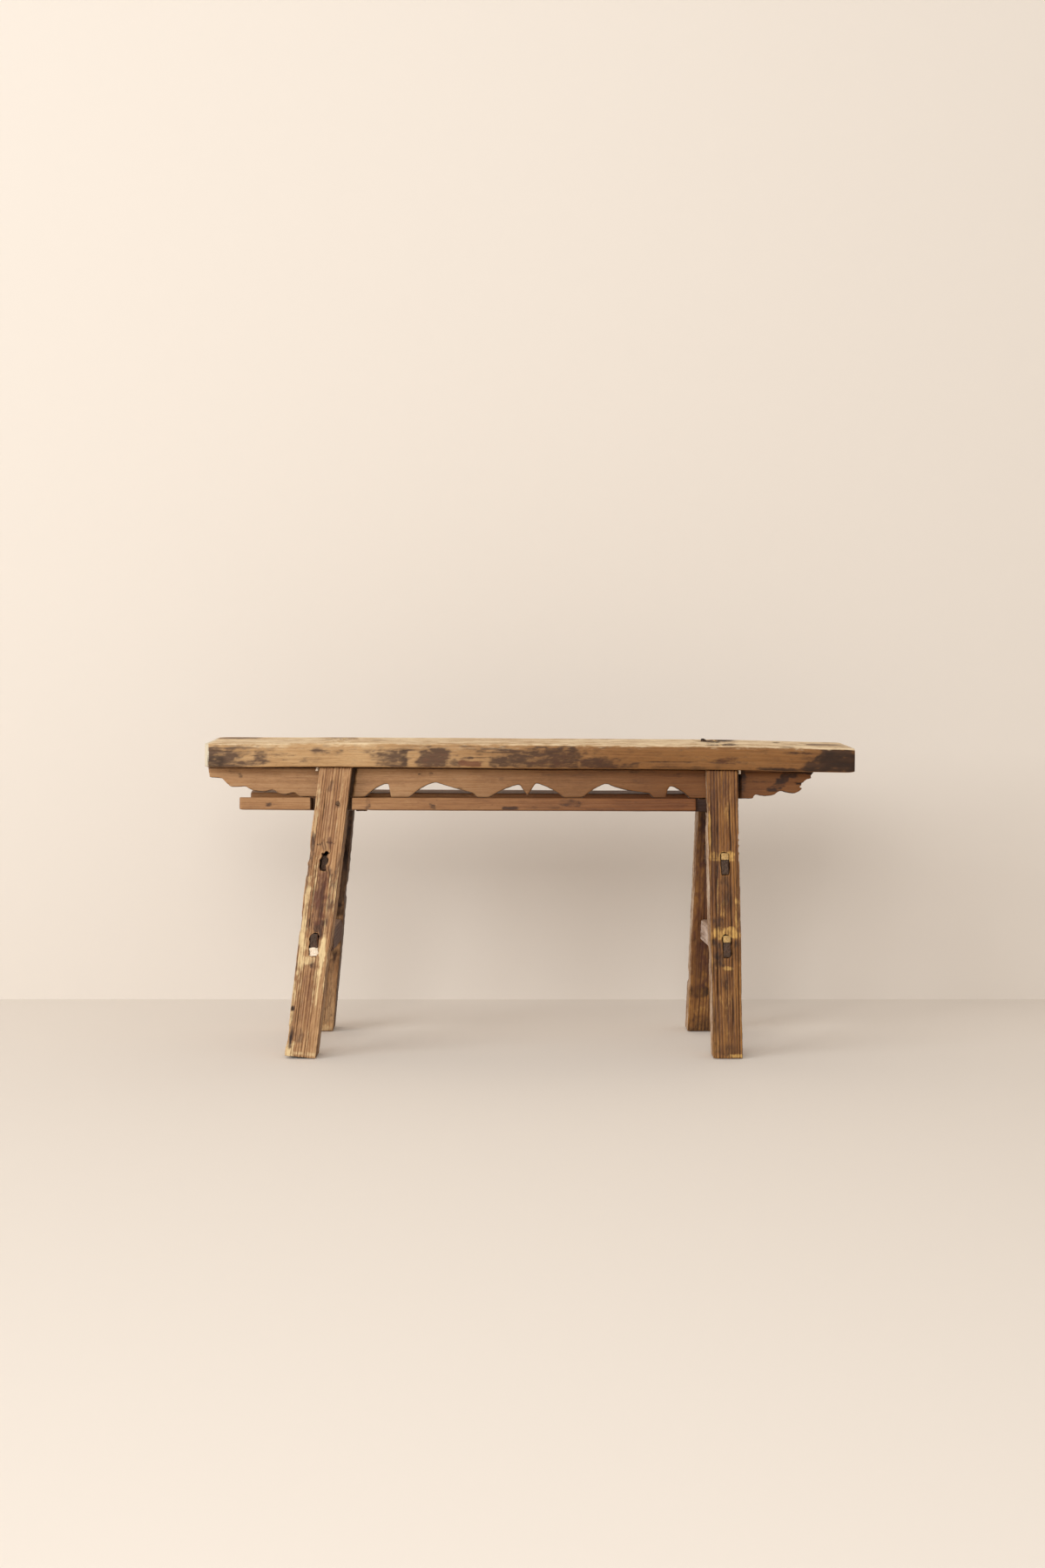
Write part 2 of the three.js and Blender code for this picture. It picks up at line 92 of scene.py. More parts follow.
def hump(value, middle, half_width):
    """1 at the middle, falling softly to both sides."""
    return np.exp(-(((value - middle) / half_width) ** 2))


def highest(*layers):
    """The highest of several values at each point."""
    return np.maximum.reduce(layers)


def srgb(red, green, blue):
    """A colour seen on a screen, from 0 to 255, as the shader's linear one."""
    values = [channel / 255 for channel in (red, green, blue)]
    linear = [v / 12.92 if v <= 0.04045 else ((v + 0.055) / 1.055) ** 2.4 for v in values]
    return (*linear, 1)


def add_object(name, data):
    """Puts an object that holds the data into the scene."""
    added = bpy.data.objects.new(name, data)
    bpy.context.scene.collection.objects.link(added)
    return added


# Repeatable noise


def lattice(cells, seed):
    """A number from -1 to 1 for each whole-number cell, always the same for a seed."""
    x, y, z = (cells[:, axis].astype(np.int64).astype(np.uint64) for axis in range(3))
    mixed = x * np.uint64(73856093) ^ y * np.uint64(19349663) ^ z * np.uint64(83492791)
    mixed = (mixed ^ np.uint64(seed * 2654435761 % 2**32)) & np.uint64(0xFFFFFFFF)
    for factor in (2246822519, 3266489917):
        mixed = ((mixed ^ (mixed >> np.uint64(15))) * np.uint64(factor)) & np.uint64(0xFFFFFFFF)
    mixed ^= mixed >> np.uint64(13)
    return (mixed & np.uint64(0xFFFF)).astype(float) / 32767.5 - 1


def one_octave(points, seed):
    cell = np.floor(points)
    t = points - cell
    t = t * t * t * (t * (6 * t - 15) + 10)
    total = np.zeros(len(points))
    for corner in np.ndindex(2, 2, 2):
        weight = np.ones(len(points))
        for axis, step in enumerate(corner):
            weight *= t[:, axis] if step else 1 - t[:, axis]
        total += weight * lattice(cell + corner, seed)
    return total


def noise(points, size, seed, octaves=3):
    """Smooth noise from about -1 to 1, with features of a size for each axis."""
    scaled = points / np.array(size)
    total = np.zeros(len(points))
    for octave in range(octaves):
        total += one_octave(scaled * 2**octave, seed * 17 + octave) / 2**octave
    return total


def line_noise(values, size, seed, octaves=2):
    """Noise that changes along one coordinate only."""
    flat = np.zeros_like(values)
    return noise(np.stack([flat, flat, values], axis=1), (1, 1, size), seed, octaves)


# Wood in its own frame


def bench_frame(tilt=0.0):
    return Matrix.Translation((0, 0, SEAT_UNDERSIDE)) @ Matrix.Rotation(tilt, 4, "Y")


def side_frame(side, tilt=0.0):
    """Leans with a pair of legs. Its z runs up the legs from the seat's underside."""
    place = Matrix.Translation((0, side * SIDE_MIDDLE, SEAT_UNDERSIDE))
    return place @ Matrix.Rotation(side * LEG_SPLAY, 4, "X") @ Matrix.Rotation(tilt, 4, "Y")


def grain_along(axis):
    """Turns a frame so that its z, the grain, runs along the axis given."""
    order = {"x": (1, 2, 0), "y": (2, 0, 1)}[axis]
    turned = Matrix.Identity(4)
    for column, row in enumerate(order):
        for other in range(3):
            turned[other][column] = 1.0 if other == row else 0.0
    return turned


class Wood:
    """A dense copy of a CAD node in its own frame, ready to be worn and marked."""

    def __init__(self, node, to_world, voxel, stretch, lean=0.0):
        self.node = node
        self.to_world = to_world
        squeeze = Matrix.Diagonal((1, 1, 1 / stretch, 1)) @ Matrix.Rotation(-lean, 4, "Y")
        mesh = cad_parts[node].data.copy()
        mesh.transform(squeeze @ to_world.inverted())
        holder = add_object("holder", mesh)
        voxels = holder.modifiers.new("voxels", "REMESH")
        voxels.mode = "VOXEL"
        voxels.voxel_size = voxel
        graph = bpy.context.evaluated_depsgraph_get()
        self.mesh = bpy.data.meshes.new_from_object(holder.evaluated_get(graph))
        bpy.data.objects.remove(holder)
        self.mesh.transform(squeeze.inverted())

        count = len(self.mesh.vertices)
        places = np.empty(count * 3, np.float32)
        self.mesh.vertices.foreach_get("co", places)
        self.points = places.reshape(count, 3).astype(float)
        self.grain = self.points.copy()
        ends = np.empty(len(self.mesh.edges) * 2, np.int32)
        self.mesh.edges.foreach_get("vertices", ends)
        self.edges = ends.reshape(-1, 2)
        self.normals = self.read_normals()
        self.arris, self.ridge = np.zeros((2, count))
        # stain and soot hold painted shade as well as dirt, pale holds painted light as well as wear, and
        # bleach holds painted sheen as well as bleaching
        self.stain, self.pale, self.red, self.age, self.bleach, self.soot = np.zeros((6, count))

    def noise(self, size, seed, octaves=3):
        """Smooth noise that keeps its place in the wood."""
        return noise(self.grain, size, seed, octaves)

    def read_normals(self):
        """Each point's direction out of the wood, from the mesh as it is now."""
        self.mesh.vertices.foreach_set("co", self.points.astype(np.float32).ravel())
        self.mesh.update()
        values = np.empty(len(self.points) * 3, np.float32)
        self.mesh.vertex_normals.foreach_get("vector", values)
        return values.reshape(-1, 3).astype(float)

    def smoothed(self, rounds):
        """The points after each has moved towards its neighbours' middle, some rounds over."""
        first, second = self.edges[:, 0], self.edges[:, 1]
        count = len(self.points)
        neighbours = np.bincount(first, minlength=count) + np.bincount(second, minlength=count)
        result = self.points.copy()
        for _ in range(rounds):
            moved = np.empty_like(result)
            for axis in range(3):
                column = result[:, axis]
                total = np.bincount(first, column[second], count)
                total += np.bincount(second, column[first], count)
                moved[:, axis] = total / neighbours
            result = (result + moved) / 2
        return result

    def wear_edges(self, rounds, share):
        """Rounds the outer edges by a share for each point, and notes how much each lost."""
        target = self.smoothed(rounds)
        self.arris = np.einsum("ij,ij->i", self.points - target, self.normals)
        self.points += (target - self.points) * (share * (self.arris > 0))[:, None]

    def carve(self, depth):
        """Takes a depth off the surface at each point."""
        self.points -= self.normals * np.maximum(depth, 0)[:, None]

    def facing(self, axis, way):
        """1 where the surface looks along an axis, 0 where it is square to it."""
        return smooth(0.55, 0.85, way * self.normals[:, axis])

    def store(self, name, kind, channel, values):
        """Keeps values on the mesh, where the material reads them by name."""
        layer = self.mesh.attributes.new(name, kind, "POINT")
        layer.data.foreach_set(channel, values.astype(np.float32).ravel())

    def finish(self, material, world_change=None):
        """Makes the Blender piece that stands for the CAD node."""
        matrix = np.array(self.to_world)
        world = self.points @ matrix[:3, :3].T + matrix[:3, 3]
        if world_change is not None:
            world = world_change(world)
        low, high = (np.array(corner) for corner in CAD_BOX)
        world = np.clip(world, low, high)
        self.mesh.vertices.foreach_set("co", world.astype(np.float32).ravel())
        self.mesh.update()
        marks = np.stack((self.ridge, self.stain, self.pale, self.red), axis=1)
        years = np.stack((self.age, self.bleach, self.soot), axis=1)
        self.store("grain", "FLOAT_VECTOR", "vector", self.grain)
        self.store("marks", "FLOAT_COLOR", "color", np.clip(marks, 0, 1))
        self.store("years", "FLOAT_VECTOR", "vector", np.clip(years, 0, 1))
        self.mesh.polygons.foreach_set("use_smooth", np.ones(len(self.mesh.polygons), bool))
        self.mesh.materials.clear()
        self.mesh.materials.append(material)
        piece = add_object("worn_" + self.node, self.mesh)
        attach(piece, "root")
        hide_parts(self.node)


# Marks, drawn on a flat of the wood with one coordinate across and one along


def mottle(points, seed, low=0.25):
    """An uneven strength, as dirt has where it has half rubbed away."""
    coarse = noise(points, (0.007, 0.007, 0.014), seed, 4)
    return np.clip(0.85 + 0.40 * coarse, low, 1.15)


def spots(across, along, marks, seed):
    """The strongest of several uneven patches: (across, along, half sizes, strength) in mm."""
    points = np.stack([across, along, np.zeros_like(across)], axis=1)
    wobble = 0.30 * noise(points, (0.010, 0.010, 1), seed, 4)
    result = np.zeros(len(across))
    for a, b, half_a, half_b, strength in marks:
        sides = np.abs((across / MM - a) / half_a) ** 3 + np.abs((along / MM - b) / half_b) ** 3
        result = np.maximum(result, strength * smooth(1.35, 0.60, np.cbrt(sides) + wobble))
    return result


def splits(across, along, cracks, seed):
    """How deep cracks are: (across at start, across at end, start, end, half width, depth) in mm."""
    result = np.zeros(len(across))
    for index, (near, far, start, end, half_width, depth) in enumerate(cracks):
        share = np.clip((along / MM - start) / (end - start), 0, 1)
        taper = smooth(0.0, 0.12, share) * smooth(1.0, 0.88, share)
        line = (near + (far - near) * share) * MM + 0.0009 * line_noise(along, 0.07, seed + index)
        open_here = 0.7 + 0.3 * line_noise(along, 0.025, seed + index + 40)
        gap = (across - line) / (half_width * MM)
        result = np.maximum(result, depth * MM * open_here * taper * np.exp(-gap * gap))
    return result


def rings(points, pith, spacing, seed):
    """The yearly rings: 1 on the broad hard wood and 0 in the narrow furrow between two years."""
    radius = np.hypot(points[:, 0] - pith[0], points[:, 1] - pith[1]) / spacing
    radius += 0.35 * line_noise(radius, 2.7, seed + 3)
    drift = 0.8 * noise(points, (0.07, 0.07, 0.42), seed, 2)
    drift += 0.05 * noise(points, (0.012, 0.012, 0.035), seed + 5, 2)
    phase = radius + drift
    year = np.floor(phase)
    part = phase - year
    years = np.stack([year, np.zeros_like(year), np.zeros_like(year)], axis=1)
    depth = 0.62 + 0.38 * lattice(years, seed)
    return 1 - depth * (1 - smooth(0.0, 0.34, part) * smooth(1.0, 0.80, part))


# Materials


class Shader:
    """Builds a node tree a node at a time."""

    def __init__(self, name):
        self.material = bpy.data.materials.new(name)
        self.material.use_nodes = True
        self.tree = self.material.node_tree
        self.tree.nodes.clear()

    def add(self, kind, inputs, **settings):
        node = self.tree.nodes.new(kind)
        for key, value in settings.items():
            setattr(node, key, value)
        for key, value in inputs.items():
            if isinstance(value, bpy.types.NodeSocket):
                self.tree.links.new(value, node.inputs[key])
            else:
                node.inputs[key].default_value = value
        return node

    def attribute(self, name):
        return self.add("ShaderNodeAttribute", {}, attribute_name=name)

    def noise(self, vector, scale, detail, roughness):
        """Noise with so many features to the metre along each axis."""
        spread = self.add("ShaderNodeVectorMath", {0: vector, 1: scale}, operation="MULTIPLY")
        inputs = {"Vector": spread.outputs[0], "Scale": 1.0, "Detail": detail, "Roughness": roughness}
        return self.add("ShaderNodeTexNoise", inputs).outputs["Fac"]

    def math(self, operation, first, second):
        return self.add("ShaderNodeMath", {0: first, 1: second}, operation=operation).outputs[0]

    def sum(self, *terms):
        """The sum of (value, weight) terms."""
        total = 0.0
        for value, weight in terms:
            total = self.math("ADD", total, self.math("MULTIPLY", value, weight))
        return total

    def step(self, value, low, high, to_low=0.0, to_high=1.0):
        """A soft step between two values, or a falling one where to_low is above to_high."""
        inputs = {"Value": value, "From Min": low, "From Max": high, "To Min": to_low, "To Max": to_high}
        node = self.add("ShaderNodeMapRange", inputs, interpolation_type="SMOOTHSTEP")
        return node.outputs["Result"]

    def mix(self, factor, first, second, blend="MIX"):
        inputs = {0: factor, 6: first, 7: second}
        return self.add("ShaderNodeMix", inputs, data_type="RGBA", blend_type=blend).outputs[2]

    def ramp(self, value, stops):
        node = self.add("ShaderNodeValToRGB", {"Fac": value})
        elements = node.color_ramp.elements
        while len(elements) < len(stops):
            elements.new(0.5)
        for element, (place, colour) in zip(elements, stops):
            element.position = place
            element.color = colour
        return node.outputs["Color"]


def wood_material(name, colours, ridges, lines, roughness):
    """Aged wood whose colour follows its ridges, its streaks and the marks held on the mesh, painted
    shade, light and sheen among them.
    """
    dark, middle, light, aged, stain, red, pale, bleached = (srgb(*colour) for colour in colours)
    shader = Shader(name)
    grain = shader.attribute("grain").outputs["Vector"]
    marks = shader.attribute("marks")
    split = shader.add("ShaderNodeSeparateColor", {0: marks.outputs["Color"]})
    ridge, dirt, rubbed = (split.outputs[index] for index in range(3))
    reddened = marks.outputs["Alpha"]
    years = shader.add("ShaderNodeSeparateXYZ", {0: shader.attribute("years").outputs["Vector"]})
    age, bleach, soot = (years.outputs[index] for index in range(3))

    fibre = shader.noise(grain, (1400, 1400, 28), 4, 0.6)
    streak = shader.noise(grain, (300, 300, 6), 5, 0.6)
    band = shader.noise(grain, (75, 75, 3), 4, 0.55)
    cloud = shader.noise(grain, (34, 34, 14), 6, 0.62)
    flake = shader.noise(grain, (380, 380, 130), 4, 0.62)

    along_grain = ((streak, 0.9 * lines), (fibre, 0.6 * lines), (band, 0.7 * lines))
    parts = ((ridge, ridges), *along_grain, (cloud, 0.9), (flake, 0.45))
    middle_sum = sum(weight for _, weight in parts[1:]) / 2 + ridges * 0.72
    tone = shader.step(shader.sum(*parts), middle_sum - 0.62, middle_sum + 0.52)
    colour = shader.ramp(tone, [(0.0, dark), (0.5, middle), (1.0, light)])
    glint = shader.math("MULTIPLY", shader.step(flake, 0.60, 0.74), 0.5)
    colour = shader.mix(glint, colour, light)

    broken = shader.sum((fibre, 0.5), (flake, 1.5), (streak, 0.8), (cloud, 1.0))
    broken = shader.math("SUBTRACT", broken, 1.9)
    # Mixes in the stain colour where there is dirt and where shade is painted
    dirty = shader.step(shader.sum((dirt, 1.0), (broken, 0.75)), 0.10, 0.92, 0.0, 0.92)
    veiled = shader.mix(0.6, shader.mix(1.0, colour, stain, "MULTIPLY"), stain)
    colour = shader.mix(dirty, colour, veiled)
    warmed = shader.step(shader.sum((reddened, 1.0), (broken, 0.7)), 0.10, 0.90, 0.0, 0.85)
    colour = shader.mix(warmed, colour, red)
    colour = shader.mix(age, colour, shader.mix(1.0, colour, aged, "MULTIPLY"))
    # Mixes in the pale colour where wood is worn bare and where light is painted on faces turned to the
    # lamp
    bare = shader.step(shader.sum((rubbed, 1.0), (broken, 0.6)), 0.18, 0.98, 0.0, 0.92)
    colour = shader.mix(bare, colour, pale)
    # Mixes in the bleached colour for bleached wood and for painted sheen
    faded = shader.step(shader.sum((bleach, 1.0), (broken, 0.4)), 0.28, 0.80, 0.0, 0.9)
    colour = shader.mix(faded, colour, bleached)

    pore = shader.math("MULTIPLY", shader.step(flake, 0.36, 0.26), 0.45)
    colour = shader.mix(pore, colour, stain)
    # Darkens towards the soot colour for soot and also for painted shade
    black = shader.math("MULTIPLY", soot, 0.95)
    colour = shader.mix(black, colour, shader.mix(1.0, colour, SOOT, "MULTIPLY"))
    shade = shader.step(fibre, 0.25, 0.75, 0.86, 1.12)
    value = shader.add("ShaderNodeCombineColor", {0: shade, 1: shade, 2: shade}).outputs[0]
    colour = shader.mix(1.0, colour, value, "MULTIPLY")

    smoothest, roughest = roughness
    rough = shader.sum((tone, -0.3), (cloud, 0.8), (bare, 0.3))
    rough = shader.step(rough, 0.0, 0.7, smoothest, roughest)
    height = shader.sum((fibre, 0.6), (streak, 0.8), (flake, 0.5), (ridge, 0.3))
    bump = shader.add("ShaderNodeBump", {"Strength": 0.6, "Distance": 0.0006, "Height": height})
    inputs = {"Base Color": colour, "Roughness": rough, "Normal": bump.outputs["Normal"]}
    surface = shader.add("ShaderNodeBsdfPrincipled", inputs)
    surface.inputs["Specular IOR Level"].default_value = 0.3
    shader.add("ShaderNodeOutputMaterial", {"Surface": surface.outputs["BSDF"]})
    return shader.material


# Colours as seen on a screen: dark, middle and light wood, what age multiplies them by, then
# stain, which also paints shade, reddened wood, bare pale wood, which also paints light, and
# bleached wood, which also paints sheen. After them come how much the yearly rings and the
# lines along the grain show, and the least and most roughness
# The dark that soot and painted shade are mixed towards
SOOT = srgb(92, 78, 68)
WOODS = {
    "seat": (
        ((132, 98, 62), (178, 140, 96), (204, 168, 122), (186, 160, 126),
         (92, 71, 58), (116, 72, 50), (230, 208, 172), (212, 202, 180)), 0.15, 0.55, (0.50, 0.78),
    ),
    "leg_light": (
        ((104, 68, 44), (166, 124, 84), (208, 170, 124), (190, 160, 140),
         (86, 63, 54), (122, 78, 58), (228, 202, 154), (198, 190, 168)), 0.60, 1.0, (0.52, 0.80),
    ),
    "leg_dark": (
        ((66, 39, 22), (120, 79, 42), (170, 122, 62), (170, 140, 130),
         (64, 44, 33), (92, 54, 40), (204, 162, 92), (204, 180, 156)), 0.55, 1.0, (0.46, 0.78),
    ),
    "apron": (
        ((130, 92, 58), (162, 120, 80), (184, 144, 102), (178, 150, 112),
         (64, 44, 32), (108, 70, 42), (196, 160, 118), (180, 160, 140)), 0.20, 0.8, (0.46, 0.70),
    ),
    "rail": (
        ((120, 80, 48), (154, 111, 71), (180, 138, 94), (184, 152, 118),
         (70, 48, 36), (126, 78, 46), (204, 166, 120), (168, 150, 132)), 0.20, 0.8, (0.44, 0.68),
    ),
    "stretcher": (
        ((98, 74, 60), (140, 110, 92), (176, 148, 126), (180, 160, 140),
         (70, 54, 42), (112, 68, 48), (200, 178, 154), (202, 182, 168)), 0.35, 1.0, (0.6, 0.85),
    ),
    "wedge": (
        ((136, 102, 54), (178, 142, 86), (206, 172, 114), (190, 165, 140),
         (98, 72, 44), (168, 124, 76), (222, 196, 150), (214, 200, 176)), 0.4, 1.0, (0.6, 0.85),
    ),
    "fresh": (
        ((204, 178, 148), (228, 206, 180), (240, 224, 202), (220, 200, 180),
         (150, 120, 90), (200, 160, 130), (242, 228, 208), (240, 230, 214)), 0.4, 1.0, (0.6, 0.85),
    ),
    "peg": (
        ((44, 32, 24), (72, 52, 38), (102, 76, 54), (180, 160, 140),
         (36, 26, 20), (70, 44, 32), (130, 100, 72), (120, 100, 84)), 0.5, 1.0, (0.6, 0.85),
    ),
}


def make_materials():
    return {name: wood_material(name + "_worn", *look) for name, look in WOODS.items()}


# The seat plank, with x to the back, y up and z along the bench

SEAT_STAINS = [
    (13, -496, 20, 33, 0.82), (32, -475, 3, 38, 0.65), (20, -431, 12, 10, 0.8), (8, -448, 4, 28, 0.65),
    (24, -455, 4, 12, 0.35), (28, -333, 2, 18, 0.55), (24, -305, 6, 8, 0.35), (12, -220, 13, 24, 0.65),
    (18, -201, 15, 6, 1.0), (29, -212, 2, 42, 0.5), (15, -154, 14, 26, 0.9), (30, -150, 2, 15, 0.7),
    (8, -121, 6, 9, 0.7), (12, -30, 13, 32, 0.7), (27, -25, 4, 34, 0.4), (17, 42, 17, 44, 0.68),
    (9, 112, 10, 36, 0.8), (6, 158, 5, 20, 0.6), (3, 245, 4, 60, 0.4), (14, 315, 8, 18, 0.3),
    (2, 420, 4, 70, 0.9), (16, 492, 21, 36, 1.15), (8, 456, 9, 22, 0.95), (30, 436, 2, 30, 0.7),
    (22, 452, 3, 22, 0.5),
]
SEAT_REDS = [
    (8, -97, 5, 18, 1.1), (15, -154, 13, 24, 0.3), (17, 42, 14, 40, 0.35), (9, 112, 9, 36, 0.35),
    (14, 315, 8, 18, 0.4),
]
SEAT_SOOTS = [
    (17, 494, 18, 30, 0.6), (4, 462, 6, 30, 0.5), (1, 430, 3, 60, 0.55), (8, -504, 12, 14, 0.6),
    (0, -504, 3, 18, 0.95), (18, -201, 13, 5, 0.4),
]
TOP_STAINS = [
    (60, -488, 24, 38, 0.8), (62, -315, 16, 32, 0.6), (-2, 482, 28, 32, 0.75), (-19, -242, 3, 14, 0.7),
    (-80, 412, 3, 12, 0.9), (30, -120, 3, 40, 0.45), (-10, 120, 3, 50, 0.4), (48, 60, 4, 50, 0.4),
    (20, 305, 22, 30, 0.45), (-20, -312, 3, 20, 0.6), (26, -316, 3, 20, 0.6),
]
TOP_SOOTS = [
    (56, 306, 15, 30, 1.0), (56, 326, 26, 16, 1.15), (-48, 322, 13, 15, 1.0), (34, 409, 13, 7, 1.0),
    (12, 298, 9, 18, 1.0), (-12, 316, 8, 15, 1.0), (-32, 328, 7, 8, 0.9), (-80, 412, 4, 9, 0.9),
    (-10, -246, 9, 9, 0.7), (8, -330, 6, 7, 0.7), (-10, -300, 6, 6, 0.6),
]
TOP_HOLLOWS = [
    (56, 304, 13, 30, 1.0), (12, 298, 8, 18, 0.8), (-12, 316, 8, 15, 0.8), (34, 409, 12, 7, 0.8),
]
SEAT_CHECKS = [
    (12, 14, 150, 480, 0.8, 1.8), (27, 26, -520, -420, 0.7, 1.6), (31, 30, 330, 480, 0.6, 1.4),
]
TOP_CHECKS = [
    (-52, -58, 330, 521, 0.8, 2.5), (18, 24, -521, -360, 0.8, 2.0), (46, 40, 120, 330, 0.7, 1.6),
    (-30, -36, -300, 60, 0.6, 1.3), (-66, -62, 200, 420, 0.8, 2.2), (-70, -74, -420, -200, 0.6, 1.4),
    (4, 8, -120, 240, 0.5, 1.2),
]
ARRIS_RADIUS = 0.0065
LEFT_DROOP, RIGHT_DROOP = 0.0018, 0.0030
DROOP_FROM = 0.300

# How far each end is let out again after its wear, rising over the last stretch of the plank
LEFT_REACH, RIGHT_REACH = 0.0035, 0.0026
REACH_FROM, REACH_FULL = HALF_LENGTH - 0.012, HALF_LENGTH - 0.004


def round_over(wood, radius):
    """Rounds the seat's long upper edges, each point to its own radius."""
    depth, up = wood.points[:, 0], wood.points[:, 1]
    inset = np.abs(depth) - (HALF_DEPTH - radius)
    rise = up - (SEAT_THICKNESS - radius)
    corner = (inset > 0) & (rise > 0)
    reach = np.hypot(inset, rise)
    shrink = np.where(corner & (reach > radius), radius / np.maximum(reach, 1e-9), 1)
    wood.points[:, 0] -= np.sign(depth) * inset * (1 - shrink) * corner
    wood.points[:, 1] -= rise * (1 - shrink) * corner


def dress_seat(material):
    to_world = bench_frame(SEAT_TILT) @ grain_along("x")
    wood = Wood("seat_plank", to_world, voxel=0.0017, stretch=2.4)
    depth, up, along = wood.points.T.copy()
    front, back = wood.facing(0, -1), wood.facing(0, 1)
    sides = front + back
    top, under = wood.facing(1, 1), wood.facing(1, -1)
    ends = wood.facing(2, -1) + wood.facing(2, 1)
    wood.ridge = rings(wood.points, (0.01, -0.09), 0.0048, 11)

    bluntness = 1 + 0.4 * line_noise(along, 0.10, 20) + 0.5 * (along < -0.3)
    round_over(wood, ARRIS_RADIUS * np.clip(bluntness, 0.5, 1.6))
    wood.normals = wood.read_normals()
    wood.wear_edges(12, np.clip(0.75 + 0.5 * wood.noise((0.05, 0.05, 0.22), 21), 0.25, 1))
    wood.points[:, 2] += 0.8 * (along - wood.points[:, 2])
    hollow = 0.0005 * (1 + wood.noise((0.07, 0.05, 0.25), 22))
    grooves = 0.0006 * (1 - wood.ridge) * (top + 0.3 * front + 0.3 * back + 0.5 * under)
    dents = 0.0014 * smooth(0.75, 1.35, wood.noise((0.010, 0.008, 0.022), 23))
    rough_ends = 0.0004 * ends * (1 + wood.noise((0.004, 0.004, 0.004), 24))
    checks = splits(up, along, SEAT_CHECKS, 25) * front + splits(depth, along, TOP_CHECKS, 26) * top
    hollows = 0.0030 * spots(depth, along, TOP_HOLLOWS, 35) * top * mottle(wood.grain, 36)
    wood.carve(hollow + grooves + dents * (front + top + back) + rough_ends + checks + hollows)

    worn = 0.5 + 0.5 * wood.noise((0.02, 0.008, 0.09), 27)
    patchy = mottle(wood.grain, 32)
    band_edge = 0.032 + 0.003 * line_noise(along, 0.05, 33, 4)
    to_right = smooth(-0.2, 0.2, along)
    upper = smooth(band_edge - 0.010 + 0.008 * to_right, band_edge + 0.009, up) * (0.62 - 0.14 * to_right)
    rubbed_top = (0.52 + 0.42 * worn + 0.15 * smooth(0.0, 0.3, along)) * patchy
    wood.pale = np.maximum(top, upper * (1 - ends)) * rubbed_top
    wood.pale += 0.45 * smooth(0.003, 0.0, up) * front * worn
    left_tip = smooth(-0.5110, -0.5140, along)
    # Painted sheen: the left part of the top is paled as if grazing light lay on it
    bleached_top = 0.2 * top * worn * smooth(-0.15, -0.40, along)
    wood.bleach = np.maximum(left_tip * np.maximum(patchy, 0.8), bleached_top) * (1 - under)
    wood.pale *= 1 - under
    clean = 1 - 0.6 * smooth(0.10, 0.25, along)
    dashes = wood.noise((0.004, 0.0022, 0.020), 39, 3) + 0.5 * wood.noise((0.05, 0.03, 0.09), 40)
    dashes = smooth(0.25, 1.0, dashes) * sides * smooth(0.004, 0.012, up) * clean
    blotches = smooth(0.1, 1.0, wood.noise((0.012, 0.010, 0.018), 41, 4)) * sides * clean
    drawn = front * spots(up, along, SEAT_STAINS, 28) * patchy
    drawn += back * spots(up, -along, SEAT_STAINS, 30) * mottle(wood.grain, 34)
    drawn += top * spots(depth, along, TOP_STAINS, 29) * patchy
    wood.stain = highest(
        drawn,
        0.3 * under * worn,
        ends * (1 - left_tip * 0.6) * (0.5 + 0.4 * worn),
        smooth(0.0006, 0.0022, checks),
        smooth(0.0006, 0.0020, hollows),
    )
    wood.stain += 0.12 * sides + 0.45 * dashes + 0.35 * blotches
    wood.pale *= 1 - 0.8 * np.clip(drawn * (1 - 0.6 * upper * (1 - top)), 0, 1)
    wood.soot = front * spots(up, along, SEAT_SOOTS, 38) + top * spots(depth, along, TOP_SOOTS, 37)
    wood.soot *= patchy
    wood.red = sides * spots(up, along, SEAT_REDS, 31) * patchy
    wood.age = smooth(-0.30, 0.20, along) * sides + 0.35 * top * smooth(-0.2, 0.4, along)
    wood.age = highest(wood.age, 0.8 * under)

    def droop(world):
        world[:, 2] -= RIGHT_DROOP * smooth(DROOP_FROM, HALF_LENGTH, world[:, 0])
        world[:, 2] -= LEFT_DROOP * smooth(-DROOP_FROM, -HALF_LENGTH, world[:, 0])
        world[:, 0] += RIGHT_REACH * smooth(REACH_FROM, REACH_FULL, world[:, 0])
        world[:, 0] -= LEFT_REACH * smooth(-REACH_FROM, -REACH_FULL, world[:, 0])
        return world

    wood.finish(material, droop)
